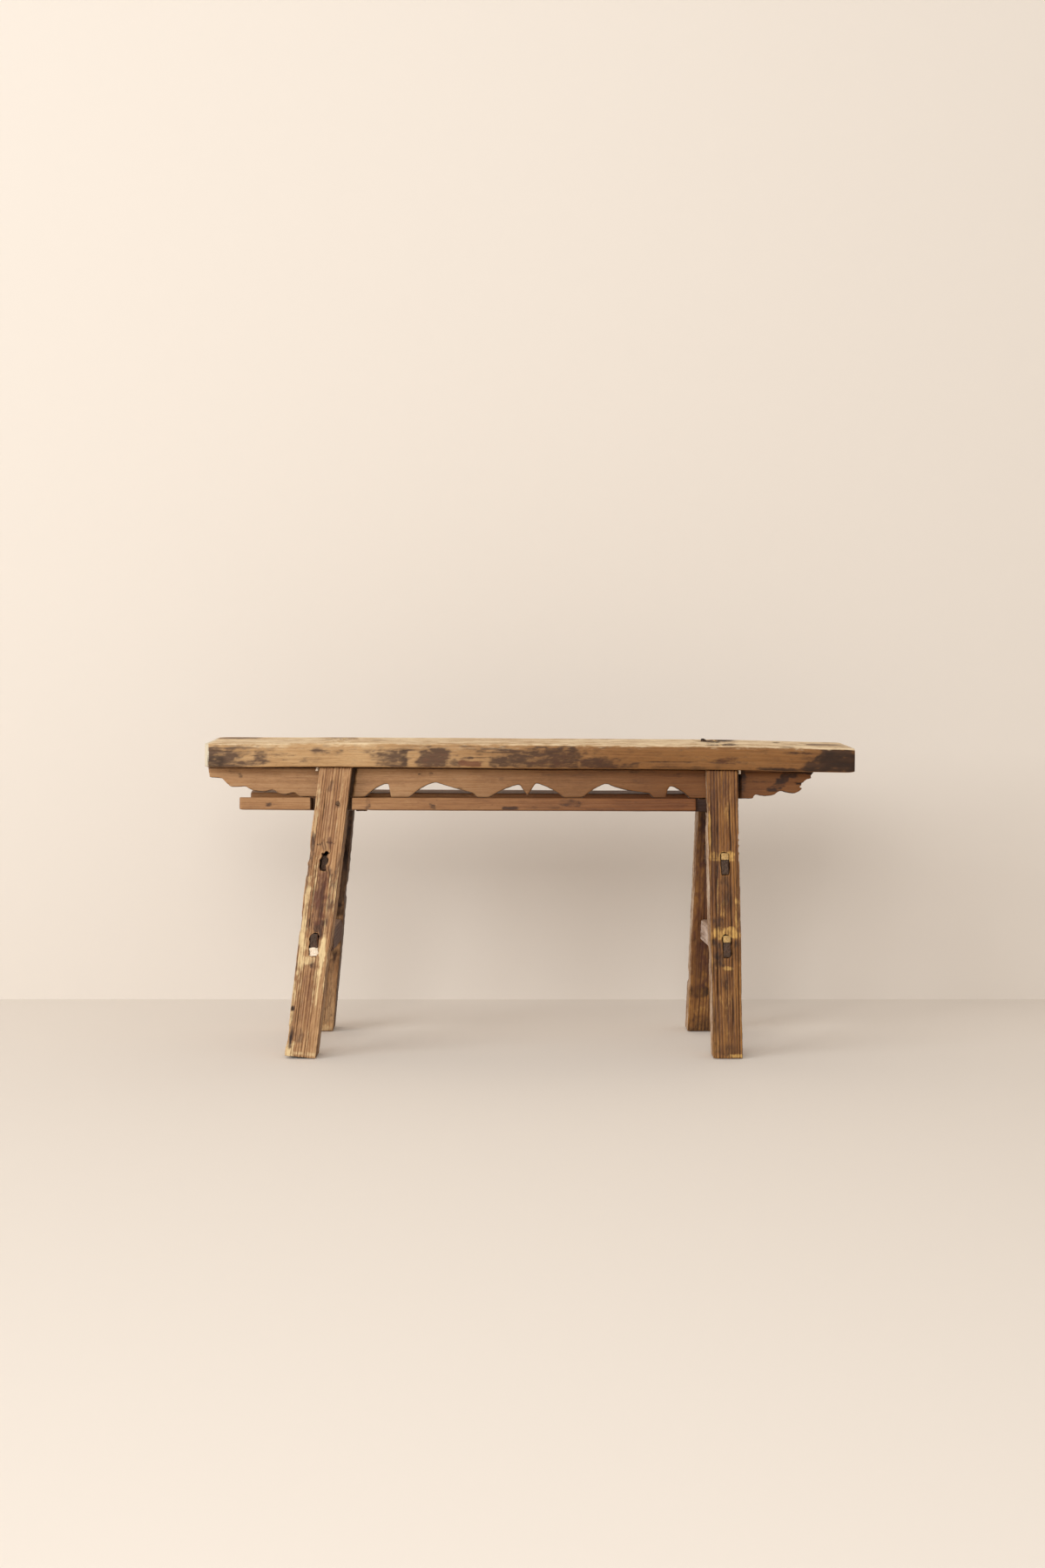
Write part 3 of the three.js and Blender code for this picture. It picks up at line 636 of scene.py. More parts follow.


# Legs, with x along the bench, y to the back and z up the leg from the seat's underside

# The last list of each leg gives heights in mm and how dark its faces turned to the right are painted as
# shade there
LEG_LOOKS = {
    "leg_front_left": dict(
        pith=(0.19, 0.03), spacing=0.0042, groove=0.0011, furrows=0.12, tenon=0.0,
        scribe=(-121, -15, 13, 0.9), foot_lift=(0.0045, -1),
        stains=[
            (-1, -216, 10, 46, 0.85), (-13, -237, 6, 34, 0.55), (4, -258, 9, 16, 0.85),
            (-22, -128, 5, 26, 0.75), (-24, -165, 4, 40, 0.6), (-1, -122, 10, 8, 0.45),
            (8, -176, 8, 12, 0.55), (22, -168, 4, 34, 0.6), (17, -225, 5, 40, 0.65),
            (-4, -32, 5, 9, 0.75), (11, -62, 4.5, 5, 0.6), (2, -318, 6, 7, 0.6), (-22, -386, 3, 4, 1.1),
            (-19, -431, 3, 20, 1.0), (-6, -431, 8, 16, 0.6), (-14, -404, 7, 8, 0.4),
            (-24, -300, 2, 40, 0.6), (-20, -60, 3, 40, 0.3),
        ],
        pales=[
            (-20, -225, 5, 46, 0.9), (-19, -285, 6, 44, 1.0), (-24, -395, 4, 60, 0.8),
            (15, -300, 5, 34, 1.0), (26, -325, 4, 44, 0.9), (-12, -160, 4, 18, 0.7),
            (25, -200, 3, 34, 0.8), (-4, -309, 13, 7, 0.7), (9, -340, 4, 40, 0.5),
            (-16, -345, 4, 40, 0.5), (-20, -455, 9, 16, 0.9), (8, -460, 26, 3, 0.6),
            (-11, -215, 1.5, 60, 0.8), (13, -230, 1.2, 50, 0.9), (-22, -70, 5, 50, 0.55),
        ],
        reds=[(-1, -205, 12, 54, 0.7), (0, -90, 14, 40, 0.4), (-2, -372, 12, 50, 0.45)],
        cracks=[
            (-11, -12, -10, -460, 0.9, 1.6), (15, 11, -184, -285, 0.7, 1.6),
            (19, 21, -20, -330, 0.8, 1.4), (3, 1, -340, -463, 0.8, 1.4),
            (-20, -21, -300, -463, 0.7, 1.4), (12, 14, -300, -463, 0.7, 1.3),
        ],
        bites=[
            (-27, -140, 3, 12, 2.0), (-27, -165, 3, 9, 1.6), (27, -330, 3, 20, 1.6),
            (-27, -250, 3, 13, 1.6), (26, -300, 3, 8, 1.8), (-27, -430, 3, 14, 1.6),
        ],
        soots=[
            (11, -62, 3, 4, 0.4), (-22, -386, 2.5, 3, 1.0), (-19, -431, 2, 16, 0.8),
            (4, -216, 3, 30, 0.5),
        ],
        streaks=[
            (-8, -13, -170, -250, 1.1, 1.1), (18, 19, -178, -292, 1.1, 1.1),
            (-14, -19, -300, -345, 1.2, 0.9), (16, 14, -305, -390, 1.2, 1.1),
            (-20, -21, -190, -270, 1.2, 0.9), (6, 8, -318, -463, 1.0, 0.6),
            (-8, -9, -330, -440, 1.0, 0.6), (14, 12, -10, -130, 1.1, 0.5),
        ],
        inner=[(-463, 0.35), (-360, 0.0), (-150, 0.1), (-70, 0.75), (0, 0.95)],
    ),
    "leg_front_right": dict(
        pith=(-0.21, -0.02), spacing=0.0052, groove=0.0014, furrows=0.28, tenon=0.7,
        stains=[
            (-16, -90, 5, 80, 0.4), (4, -208, 10, 26, 0.5), (-11, -251, 8, 12, 0.7),
            (-11, -300, 10, 26, 0.7), (18, -296, 7, 18, 0.5), (0, -344, 12, 12, 0.45),
            (2, -182, 10, 10, 0.5), (-18, -190, 6, 30, 0.45), (-20, -420, 5, 40, 0.5),
            (0, -452, 22, 9, 0.55), (-14, -28, 6, 30, 0.35),
        ],
        pales=[
            (-2, -143, 26, 7, 0.95), (0, -150, 26, 2, 0.9), (0, -266, 26, 10, 0.95),
            (-2, -228, 7, 18, 0.5), (19, -240, 4, 40, 0.75), (-17, -322, 2, 2, 1.2),
            (3, -323, 9, 3, 0.9), (-23, -95, 3, 34, 0.7), (18, -462, 14, 3, 1.1),
            (-2, -378, 12, 14, 0.45), (3, -430, 10, 18, 0.35), (8, -60, 6, 40, 0.35),
        ],
        reds=[(-17, -60, 8, 60, 0.4), (-16, -200, 8, 60, 0.4), (10, -405, 9, 40, 0.3)],
        cracks=[
            (-8, -17, -8, -463, 1.2, 2.5), (12, 8, -8, -463, 1.1, 2.3), (-18, -21, -8, -463, 0.8, 1.6),
            (19, 18, -8, -463, 0.8, 1.6), (2, 1, -175, -262, 0.7, 1.3), (0, -1, -330, -463, 0.8, 1.8),
            (-1, 0, -8, -130, 0.7, 1.2),
        ],
        bites=[
            (27, -112, 3, 4, 2.6), (27, -122, 3, 3, 3.0), (27, -133, 3, 4, 3.0), (27, -147, 3, 5, 2.4),
            (-27, -300, 3, 14, 1.4), (-27, -75, 3, 16, 1.2),
        ],
        soots=[
            (-12, -304, 8, 22, 0.3), (18, -290, 6, 12, 0.3), (0, -340, 10, 9, 0.15),
            (4, -212, 8, 22, 0.2), (-12, -248, 7, 8, 0.35), (-18, -110, 3, 60, 0.3),
            (0, -186, 9, 7, 0.25),
        ],
        streaks=[
            (-11, -12, -172, -262, 1.0, 0.9), (-18, -18, -176, -215, 1.2, 0.7),
            (-23, -22, -90, -440, 1.1, 0.7), (-18, -19, -385, -420, 1.0, 0.8),
            (8, 7, -10, -130, 1.0, 0.35), (17, 17, -20, -120, 1.0, 0.35), (2, 3, -340, -450, 1.0, 0.5),
            (20, 21, -160, -440, 1.0, 0.5),
        ],
        inner=[(-463, 0.0), (0, 0.0)],
    ),
    "leg_back_left": dict(
        pith=(0.17, -0.05), spacing=0.0046, groove=0.0010, furrows=0.15, tenon=0.4,
        stains=[
            (20, -100, 9, 90, 0.6), (12, -230, 12, 14, 0.8), (16, -330, 4, 10, 0.8),
            (4, -385, 24, 80, 0.42),
        ],
        pales=[(14, -180, 8, 40, 0.3), (0, -455, 26, 6, 0.5)],
        reds=[(18, -120, 12, 90, 0.4)],
        cracks=[(-10, -12, -8, -463, 0.8, 1.4), (8, 9, -150, -463, 0.8, 1.4)],
        bites=[(26, -220, 3, 12, 1.6)],
        # This large dark patch is painted shade over the upper front face
        soots=[(12, -150, 20, 150, 0.95)],
        streaks=[(4, 3, -330, -463, 0.7, 0.5)],
        inner=[(-463, 0.85), (0, 0.95)],
    ),
    "leg_back_right": dict(
        pith=(-0.10, -0.13), spacing=0.0048, groove=0.0009, furrows=0.12, tenon=0.9,
        stains=[
            (-4, -90, 18, 110, 0.6), (0, -330, 22, 50, 0.5), (-6, -390, 22, 12, 0.7),
            (0, -450, 26, 16, 0.6),
        ],
        pales=[(-25, -390, 3, 30, 0.5), (4, -420, 16, 12, 0.3)],
        reds=[(0, -200, 24, 200, 0.6)],
        cracks=[(-8, -9, -8, -463, 0.8, 1.2), (12, 12, -100, -463, 0.8, 1.2)],
        bites=[(-26, -372, 3, 10, 2.0)],
        soots=[(-8, -392, 18, 8, 0.2), (0, -60, 24, 50, 0.5), (14, -250, 10, 90, 0.3)],
        streaks=[(-6, -7, -60, -300, 0.7, 0.3)],
        inner=[(-463, 0.0), (0, 0.0)],
    ),
}

# Mortise mouths worn out of square: height of the middle, lean against the upright, how square
# the corners stay, how far the top has filled, and at what height and how far it is pinched
MOUTHS = {
    "leg_front_left": [(-145.7, 0.18, 2.2, 4.5, (2.5, 4.0)), (-282.8, 0.10, 5.0, 0.0, None)],
    "leg_front_right": [(-151.9, -0.03, 6.0, 0.0, None), (-284.1, -0.04, 5.0, 0.0, None)],
}
MOUTH_HALF_WIDTH, MOUTH_HALF_HEIGHT = 6.3 * MM, 17.7 * MM
MOUTH_REACH = 0.007

# The rail's peg in a left leg. Up to PEG_EDGE from its middle the walls deep in the leg keep their own
# colour, and from PEG_DARK on they get their painted shade
PEG_ACROSS, PEG_HEIGHT = 0.0105, -0.059
PEG_EDGE, PEG_DARK = 0.0045, 0.0065

# The tenons' tips in the seat, and the splinter raised on one of them
TIP_HEIGHT = 0.030
SPLINTER = 0.0036

# A leg's voxel size, and how many times longer its voxels are along the grain
LEG_FINENESS = {FRONT: (0.00088, 2.0), BACK: (0.00105, 2.2)}


def leg_lean(node, to_world):
    """The angle by which a leg leans to the right as it rises, from its foot and its top."""
    into_frame = to_world.inverted()
    corners = np.array([into_frame @ vertex.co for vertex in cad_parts[node].data.vertices])
    foot = corners[corners[:, 2] < corners[:, 2].min() + 0.01].mean(axis=0)
    top = corners[corners[:, 2] > corners[:, 2].max() - 0.01].mean(axis=0)
    return math.atan2(top[0] - foot[0], top[2] - foot[2])


def leg_middle(points, heights):
    """The leg's middle line: x for each height, from the widths at its foot and shoulder."""
    middles = []
    for low, high in ((-0.455, -0.445), (-0.025, -0.015)):
        slab = points[(points[:, 2] > low) & (points[:, 2] < high), 0]
        middles.append(((low + high) / 2, (slab.min() + slab.max()) / 2))
    (z0, x0), (z1, x1) = middles
    return x0 + (x1 - x0) * (heights - z0) / (z1 - z0)


def wear_mouth(wood, unworn, mouth, seed):
    """Works a mortise's mouth out of square at the leg's outer face, and gives where it did."""
    height, lean, square, fill, pinch = mouth
    outer = smooth(0.006, 0.017, wood.grain[:, 1])
    across = wood.points[:, 0] - leg_middle(unworn, height * MM)
    rise = wood.points[:, 2] - height * MM
    a, b = across / MOUTH_HALF_WIDTH, rise / MOUTH_HALF_HEIGHT
    box = np.maximum(np.abs(a), np.abs(b))
    outside = np.maximum(np.abs(across) - MOUTH_HALF_WIDTH, np.abs(rise) - MOUTH_HALF_HEIGHT)
    near = smooth(MOUTH_REACH, 0.0, outside) * outer
    oval = (np.abs(a) ** square + np.abs(b) ** square) ** (1 / square)
    pull = box / np.maximum(oval, 1e-6) - 1
    wobble = wood.noise((0.004, 0.05, 0.006), seed, 2)
    shift = across * pull + lean * rise + 0.0009 * wobble
    drop = rise * pull - fill * MM * smooth(0.2, 1.0, b)
    drop += 0.0009 * wood.noise((0.005, 0.05, 0.005), seed + 1, 2)
    if pinch:
        place, amount = pinch
        squeeze = amount * MM * hump(rise, place * MM, 0.004)
        shift -= np.sign(across) * squeeze * smooth(0.2, 0.8, np.abs(a))
    wood.points[:, 0] += shift * near
    wood.points[:, 2] += drop * near
    return near


def dress_leg(node, look, material, seed):
    side = FRONT if "front" in node else BACK
    left = node.endswith("left")
    voxel, stretch = LEG_FINENESS[side]
    wood = Wood(node, side_frame(side), voxel, stretch, leg_lean(node, side_frame(side)))
    unworn = wood.points.copy()
    height = unworn[:, 2]
    across = unworn[:, 0] - leg_middle(unworn, height)
    out = side * unworn[:, 1]
    wood.grain = np.stack([across, out, height], axis=1)
    seen = wood.facing(1, -1)
    faces = seen + wood.facing(1, 1)
    to_left, to_right = wood.facing(0, -1), wood.facing(0, 1)
    shaft = smooth(0.001, -0.003, height)
    near_face = smooth(LEG_HALF_DEPTH - 0.0045, LEG_HALF_DEPTH - 0.002, np.abs(out))
    skin = np.maximum(near_face, smooth(0.0185, 0.0215, np.abs(across)))

    wood.ridge = rings(wood.grain, look["pith"], look["spacing"], seed)
    rims = np.zeros(len(across))
    for index, mouth in enumerate(MOUTHS.get(node, [])):
        rims = np.maximum(rims, wear_mouth(wood, unworn, mouth, seed + 14 + 2 * index))
    uneven = wood.noise((0.03, 0.03, 0.09), seed + 1)
    wood.wear_edges(14, np.clip(0.60 + 0.35 * uneven, 0.2, 1))
    strength = np.clip(0.8 + 0.5 * wood.noise((0.02, 0.02, 0.12), seed + 2), 0.25, 1.4)
    grooves = look["groove"] * (1 - wood.ridge) * strength * skin * shaft
    cracks = splits(across, height, look["cracks"], seed + 3) * faces * shaft
    bites = np.zeros(len(across))
    for index, (a, b, half_a, half_b, depth) in enumerate(look["bites"]):
        bite = spots(across, height, [(a, b, half_a, half_b, 1)], seed + 50 + index)
        bites = np.maximum(bites, depth * MM * bite)
    nibbles = 0.0015 * smooth(0.50, 1.2, wood.noise((0.005, 0.005, 0.010), seed + 5))
    nibbles *= smooth(0.0002, 0.0008, wood.arris)
    wave = 0.0004 * (1 + wood.noise((0.03, 0.03, 0.12), seed + 6))
    torn = 0.0005 * (1 + wood.noise((0.003, 0.003, 0.009), seed + 9)) * skin
    end_grain = 0.0006 * (1 + wood.noise((0.003, 0.003, 0.003), seed + 7)) * (height > 0)
    scribe = np.zeros(len(across))
    if "scribe" in look:
        place, start, end, depth = look["scribe"]
        line = place * MM - 0.003 * smooth(0.4, 1.0, np.abs(across) / (15 * MM))
        scribe = depth * MM * np.exp(-(((height - line) / 0.0009) ** 2)) * seen
        scribe *= (across > start * MM) * (across < end * MM)
    wood.carve(
        grooves + cracks + bites * skin * shaft + (nibbles + wave + torn) * shaft + end_grain + scribe
    )

    patchy = mottle(wood.grain, seed + 8)
    patches = 0.5 + 0.5 * wood.noise((0.014, 0.014, 0.05), seed + 10)
    drawn = seen * spots(across, height, look["stains"], seed + 11) * patchy
    hidden_dirt = (1 - seen) * smooth(0.60, 1.0, patches) * (0.6 - 0.4 * to_right)
    # Painted shade: the walls deep inside the mortises are stained dark
    inside = (1 - skin) * shaft
    if left:
        inside *= smooth(PEG_EDGE, PEG_DARK, np.hypot(across - PEG_ACROSS, height - PEG_HEIGHT))
    # Cracks are darkened, with dirt and painted shade
    in_cracks = smooth(0.0006, 0.0018, cracks)
    in_scribe = smooth(0.0003, 0.0008, scribe)
    wood.stain = highest(drawn, hidden_dirt, inside, 0.85 * in_cracks, 0.9 * in_scribe)
    # Painted shade on the faces turned to the right, by height along the leg
    heights, strengths = zip(*look["inner"])
    evenness = 0.7 if side == FRONT else 1.0
    wood.soot = highest(
        seen * spots(across, height, look["soots"], seed + 15) * np.maximum(patchy, evenness),
        to_right * np.interp(height / MM, heights, strengths) * shaft,
        look["furrows"] * smooth(0.55, 0.15, wood.ridge) * skin * shaft,
        0.8 * in_cracks,
        look["tenon"] * smooth(TIP_HEIGHT, TIP_HEIGHT + 0.004, height),
    )
    # Painted sheen: on the right legs, faces turned to the left are bleached pale
    if not left:
        wood.bleach = to_left * shaft * (0.25 + 0.50 * patches) * (1 - rims)
    wood.pale = seen * spots(across, height, look["pales"], seed + 12) * patchy
    wood.pale *= 0.35 + 0.65 * smooth(0.25, 0.75, wood.ridge)
    wood.pale = np.maximum(wood.pale, splits(across, height, look["streaks"], seed + 16) / MM * seen)
    worn_arris = smooth(0.0001, 0.0007, wood.arris) * smooth(0.30, 0.75, patches) * shaft
    wood.pale += (0.5 if left else 0.3) * worn_arris * (1 - to_right) * near_face * (1 - rims)
    # Painted light: faces turned to the left are paled
    wood.pale += to_left * (0.35 if left else 0.1) * (0.4 + 0.6 * patches) * shaft * (1 - rims)
    # Painted shade: faces turned to the right are stained darker
    wood.stain += (0.25 if left else 0.45) * to_right * shaft
    wood.pale += (height > 0) * 0.5 * (1 - look["tenon"])
    wood.pale *= 1 - 0.6 * np.clip(wood.stain, 0, 1)
    wood.red = spots(across, height, look["reds"], seed + 13) * np.maximum(seen, 0.6 * faces) * patchy
    wood.age = (0.25 + 0.25 * patches) * (smooth(-0.44, -0.30, height) * 0.6 + 0.4)

    def settle(world):
        if "foot_lift" in look:
            lift, way = look["foot_lift"]
            tilt = np.clip(0.5 + way * across / (2 * LEG_HALF_DEPTH), 0, 1)
            world[:, 2] += lift * tilt * smooth(0.03, 0.0, world[:, 2])
        if node == "leg_back_right":
            on_tip = smooth(TIP_HEIGHT, TIP_HEIGHT + 0.008, height)
            world[:, 2] += SPLINTER * on_tip * smooth(-0.014, -0.018, across)
        return world

    wood.finish(material, settle)


# Aprons and rails, with x to the back, y up and z along the bench

# The patch at (-27, 343) is the right front leg's painted shadow on the apron
APRON_STAINS = [
    (-11.5, -178, 3, 4, 0.8), (-11, -158, 4, 5, 0.5), (-20, -46, 4, 5, 0.6), (-35, -112, 3, 5, 0.6),
    (-8, -478, 4, 10, 0.6), (-13, -466, 5, 3, 0.5), (-4, 438, 5, 22, 0.95), (-10, 420, 6, 10, 1.0),
    (-16, 412, 7, 8, 1.0), (-23, 406, 7, 8, 1.0), (-29, 400, 6, 8, 1.0), (-34, 392, 4, 9, 0.9),
    (-25, 436, 1.5, 6, 1.2), (-27, 343, 22, 7, 0.8), (-21, -134, 3, 16, 0.4), (-12, 60, 4, 40, 0.4),
    (-6, 130, 4, 60, 0.35), (-22, 182, 4, 18, 0.35), (-12, 250, 3, 50, 0.4), (-22, 370, 2, 30, 0.4),
]
RAIL_STAINS = [
    (-62, -419, 4, 5, 0.8), (-67, -440, 3, 14, 0.35), (-67, -32, 3, 13, 0.9), (-64, -155, 4, 5, 0.7),
    (-58, 66, 6, 16, 0.7), (-66, 20, 3, 30, 0.5), (-60, -258, 8, 5, 0.6), (-60, 190, 6, 60, 0.35),
    (-68, 120, 2, 60, 0.5),
]
SCROLL_SLIT = (-23, -26, 426, 446, 0.9, 5.0)

# Where the rail is painted dark as shade: its stretch in the left leg, and from where its tongue in the
# right leg starts
RAIL_IN_LEFT, TONGUE_START = (-0.352, -0.285), 0.268

# Slots cut in the apron beside each leg's right side and painted dark as shade: where they start, width
# and slope
LEG_SLOTS = [(-0.285, 0.0070, 0.14), (0.334, 0.0075, 0.03)]
SLOT_DEPTH = 0.004


def dress_apron(node, material, seed):
    side = FRONT if "front" in node else BACK
    to_world = side_frame(side, APRON_TILT) @ grain_along("x")
    wood = Wood(node, to_world, voxel=0.0011, stretch=2.2)
    _, up, along = wood.points.T.copy()
    outer = wood.facing(0, side)
    faces = outer + wood.facing(0, -side)
    sawn = 1 - np.clip(faces, 0, 1)
    scroll = np.maximum(smooth(0.37, 0.41, along), 0.6 * smooth(-0.36, -0.40, along))
    wood.ridge = rings(wood.grain, (side * 0.02, -0.10), 0.0042, seed)
    wood.wear_edges(5, np.clip(0.55 + 0.5 * wood.noise((0.03, 0.02, 0.06), seed + 1), 0.1, 1))
    grooves = 0.00025 * (1 - wood.ridge) * faces
    wave = 0.0003 * (1 + wood.noise((0.03, 0.02, 0.10), seed + 2))
    nicks = 0.0014 * smooth(0.8, 1.3, wood.noise((0.004, 0.004, 0.007), seed + 3)) * sawn
    eroded = scroll * sawn * (0.0012 + 0.0020 * wood.noise((0.012, 0.004, 0.005), seed + 9, 4))
    saw_marks = 0.0003 * sawn * (1 + wood.noise((0.02, 0.0015, 0.003), seed + 4))
    cracks = [(-7, -5, 330, 463, 0.6, 1.2), (-27, -28, -519, -400, 0.5, 0.9), SCROLL_SLIT]
    crack = splits(up, along, cracks, seed + 5) * outer
    slots = np.zeros(len(along))
    for start, width, slope in LEG_SLOTS:
        past = along - start - slope * up
        slots = np.maximum(slots, outer * (past > -0.010) * smooth(width + 0.001, width - 0.001, past))
    wood.carve(grooves + wave + nicks + np.maximum(eroded, 0) + saw_marks + crack + SLOT_DEPTH * slots)
    gap = 0.0006 * (1.1 + line_noise(along, 0.16, seed + 10)) + 0.0012 * hump(along, 0.06, 0.10)
    wood.points[:, 1] -= gap * smooth(-0.006, -0.001, up)

    worn = 0.5 + 0.5 * wood.noise((0.01, 0.01, 0.05), seed + 6)
    patchy = mottle(wood.grain, seed + 7, 0.5)
    wood.stain = highest(
        outer * spots(up, along, APRON_STAINS, seed + 8) * patchy,
        sawn * (0.70 + 0.3 * worn),
        0.8 * smooth(0.0004, 0.001, crack),
        # painted shadow along the top edge, under the seat
        0.75 * smooth(-0.005, -0.001, up),
    )
    wood.stain += 0.25 * (1 - outer)
    right = smooth(-0.20, 0.36, along)
    wood.pale = 0.25 * smooth(0.35, 0.9, worn) * (1 - right) * outer
    wood.pale *= 1 - np.clip(wood.stain, 0, 1)
    wood.red = 0.30 * right * worn
    wood.age = 1.15 * right + 0.20 * hump(along, -0.01, 0.12) + 0.3 * smooth(0.30, 0.45, along)
    # Painted shade: the slots are made nearly black
    wood.soot = 0.95 * slots
    wood.finish(material)


def dress_rail(node, material, seed):
    side = FRONT if "front" in node else BACK
    to_world = side_frame(side, APRON_TILT) @ grain_along("x")
    wood = Wood(node, to_world, voxel=0.0010, stretch=2.6)
    _, up, along = wood.points.T.copy()
    outer = wood.facing(0, side)
    ends = wood.facing(2, -1) + wood.facing(2, 1)
    wood.ridge = rings(wood.grain, (side * 0.06, -0.15), 0.0040, seed)
    wood.wear_edges(8, np.clip(0.6 + 0.5 * wood.noise((0.02, 0.02, 0.05), seed + 1), 0.15, 1))
    chips = 0.0020 * smooth(0.75, 1.25, wood.noise((0.006, 0.006, 0.016), seed + 2))
    chips *= smooth(0.0002, 0.0006, wood.arris)
    wave = 0.0003 * (1 + wood.noise((0.03, 0.02, 0.09), seed + 3))
    wood.carve(0.0003 * (1 - wood.ridge) + wave + chips)

    worn = 0.5 + 0.5 * wood.noise((0.008, 0.008, 0.04), seed + 4)
    patchy = mottle(wood.grain, seed + 6, 0.5)
    wood.stain = outer * spots(up, along, RAIL_STAINS, seed + 5) * patchy + 0.3 * (1 - outer)
    wood.stain = np.maximum(wood.stain, 0.8 * smooth(-0.0685, -0.0700, up) * outer)
    wood.stain += ends * 0.35
    recess = (along > RAIL_IN_LEFT[0]) & (along < RAIL_IN_LEFT[1]) | (along > TONGUE_START)
    # Painted shade: the rail is made dark inside the left leg and along its tongue
    wood.soot = 0.9 * recess
    wood.pale = 0.5 * smooth(0.0002, 0.0008, wood.arris) * worn * smooth(-0.062, -0.056, up)
    wood.pale *= (1 - np.clip(wood.stain, 0, 1)) * (1 - recess)
    wood.red = 0.25 * worn
    wood.age = smooth(-0.40, 0.30, along)
    wood.finish(material)


# Stretchers, with x up, y along the bench and z to the back

# How far the right ones are worn away towards the bench's middle, over what depth
INNER_LOSS, LOSS_DEPTH = 0.0025, 0.010

# How far from the middle plane the tenons end and the bodies start
TENON_EDGE, BODY_EDGE = 0.008, 0.011

# How far from its tips a stretcher is darkest, and where the dark ends
TIP_DARK, TIP_CLEAN = 0.012, 0.030


def dress_stretcher(node, material, seed):
    low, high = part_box(node)
    middle = (low + high) / 2
    corners = np.array([vertex.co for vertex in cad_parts[node].data.vertices])
    near, far = corners[corners[:, 1] < middle.y], corners[corners[:, 1] > middle.y]
    run = far.mean(axis=0) - near.mean(axis=0)
    turn = Matrix.Rotation(math.atan2(-run[0], run[1]), 4, "Z")
    to_world = Matrix.Translation(middle) @ turn @ grain_along("y")
    wood = Wood(node, to_world, voxel=0.0009, stretch=2.4)
    wood.ridge = rings(wood.grain, (0.05, 0.09), 0.0038, seed)
    wood.wear_edges(8, np.clip(0.6 + 0.5 * wood.noise((0.02, 0.02, 0.05), seed + 1), 0.1, 1))
    body = smooth(TENON_EDGE, BODY_EDGE, np.abs(wood.points[:, 1]))
    wave = 0.0003 * (1 + wood.noise((0.02, 0.02, 0.06), seed + 2))
    tips = wood.facing(2, 1) + wood.facing(2, -1)
    rough_tips = 0.0009 * tips * (1 + wood.noise((0.002, 0.002, 0.002), seed + 3))
    wood.carve((0.0006 * (1 - wood.ridge) + wave) * body + rough_tips)

    worn = 0.5 + 0.5 * wood.noise((0.008, 0.008, 0.03), seed + 4)
    reach = np.abs(wood.points[:, 2])
    dark_tips = 1.2 * smooth(reach.max() - TIP_CLEAN, reach.max() - TIP_DARK, reach)
    wood.stain = highest(0.5 * smooth(0.55, 0.95, worn) + 0.55 * tips, dark_tips)
    wood.pale = 0.5 * smooth(0.0002, 0.0008, wood.arris) * worn * body
    wood.red = 0.3 * worn
    if "left" in node:
        # Painted shade: on the left ones the face turned to the bench's middle is darkened and reddened
        inward = wood.facing(1, 1)
        wood.pale *= 1 - inward
        wood.red = np.maximum(wood.red, inward)
        wood.soot = 0.6 * inward * body
    else:
        inward = wood.facing(1, -1) * body
        wood.points[:, 1] += INNER_LOSS * smooth(0.0, -LOSS_DEPTH, wood.points[:, 1]) * body
        if "upper" in node:
            # The upper right one is darkened on its face turned to the middle
            wood.soot = 0.7 * inward
        else:
            # Painted sheen: the lower right one's face turned to the left is bleached pale
            wood.bleach = inward * (0.4 + 0.4 * worn)
    wood.finish(material)


# Small pieces: wedges, pegs, shims and the batten

BROKEN_WEDGE = "stretcher_wedge_left_lower_front"

# Wood, slot, voxel, stain and paleness, then how far the faces are broken and how far they swell
SMALL_LOOKS = {
    "seat_wedge": ("wedge", "wedge_wood", 0.0006, 0.2, 0.3, 0.0, 0.0),
    "stretcher_wedge": ("wedge", "wedge_wood", 0.0005, 0.25, 0.2, 0.0, 0.0),
    BROKEN_WEDGE: ("fresh", "wedge_wood", 0.0005, 0.0, 0.5, 0.0032, 0.0),
    "rail_peg": ("peg", "peg_wood", 0.0005, 0.1, 0.4, 0.0, 0.0008),
    "leg_shim": ("fresh", "wedge_wood", 0.0005, 0.0, 0.4, 0.0, 0.0),
    "cross_batten": ("rail", "rail_wood", 0.0008, 0.7, 0.0, 0.0, 0.0),
}


def small_frame(node):
    side = FRONT if "front" in node else BACK
    if node.startswith("stretcher_wedge"):
        low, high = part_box(node)
        return Matrix.Translation((low + high) / 2) @ grain_along("y")
    if node.startswith("rail_peg"):
        return side_frame(side, APRON_TILT) @ grain_along("y")
    if node.startswith("cross_batten"):
        return bench_frame() @ grain_along("y")
    return side_frame(side)


def dress_small(node, look, materials, seed):
    name, slot, voxel, stain, pale, broken, swell = look
    wood = Wood(node, small_frame(node), voxel, stretch=1.0)
    wood.points[:, :2] += wood.normals[:, :2] * swell
    wood.ridge = rings(wood.grain, (0.02, 0.01), 0.0016, seed)
    wood.wear_edges(3, np.full(len(wood.points), 0.8))
    rough = 1 + wood.noise((0.0020, 0.0020, 0.0035), seed + 1)
    wood.carve(0.00028 * rough)
    if broken:
        for axis in range(3):
            lump = wood.noise((0.005, 0.005, 0.005), seed + 5 + axis, 3)
            wood.points[:, axis] += broken * (0.4 * lump + 0.35 * np.sign(wood.grain[:, axis]))
    worn = 0.5 + 0.5 * wood.noise((0.002, 0.002, 0.005), seed + 2)
    wood.stain = stain * (0.4 + 1.2 * worn)
    wood.pale = pale * (0.4 + 1.2 * (1 - worn)) + 0.3 * smooth(0.0001, 0.0004, wood.arris)
    wood.finish(materials[name])


def dress_small_pieces(materials):
    for seed, node in enumerate(sorted(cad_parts), 140):
        looks = [look for start, look in SMALL_LOOKS.items() if node.startswith(start)]
        if looks:
            dress_small(node, looks[-1], materials, 3 * seed)


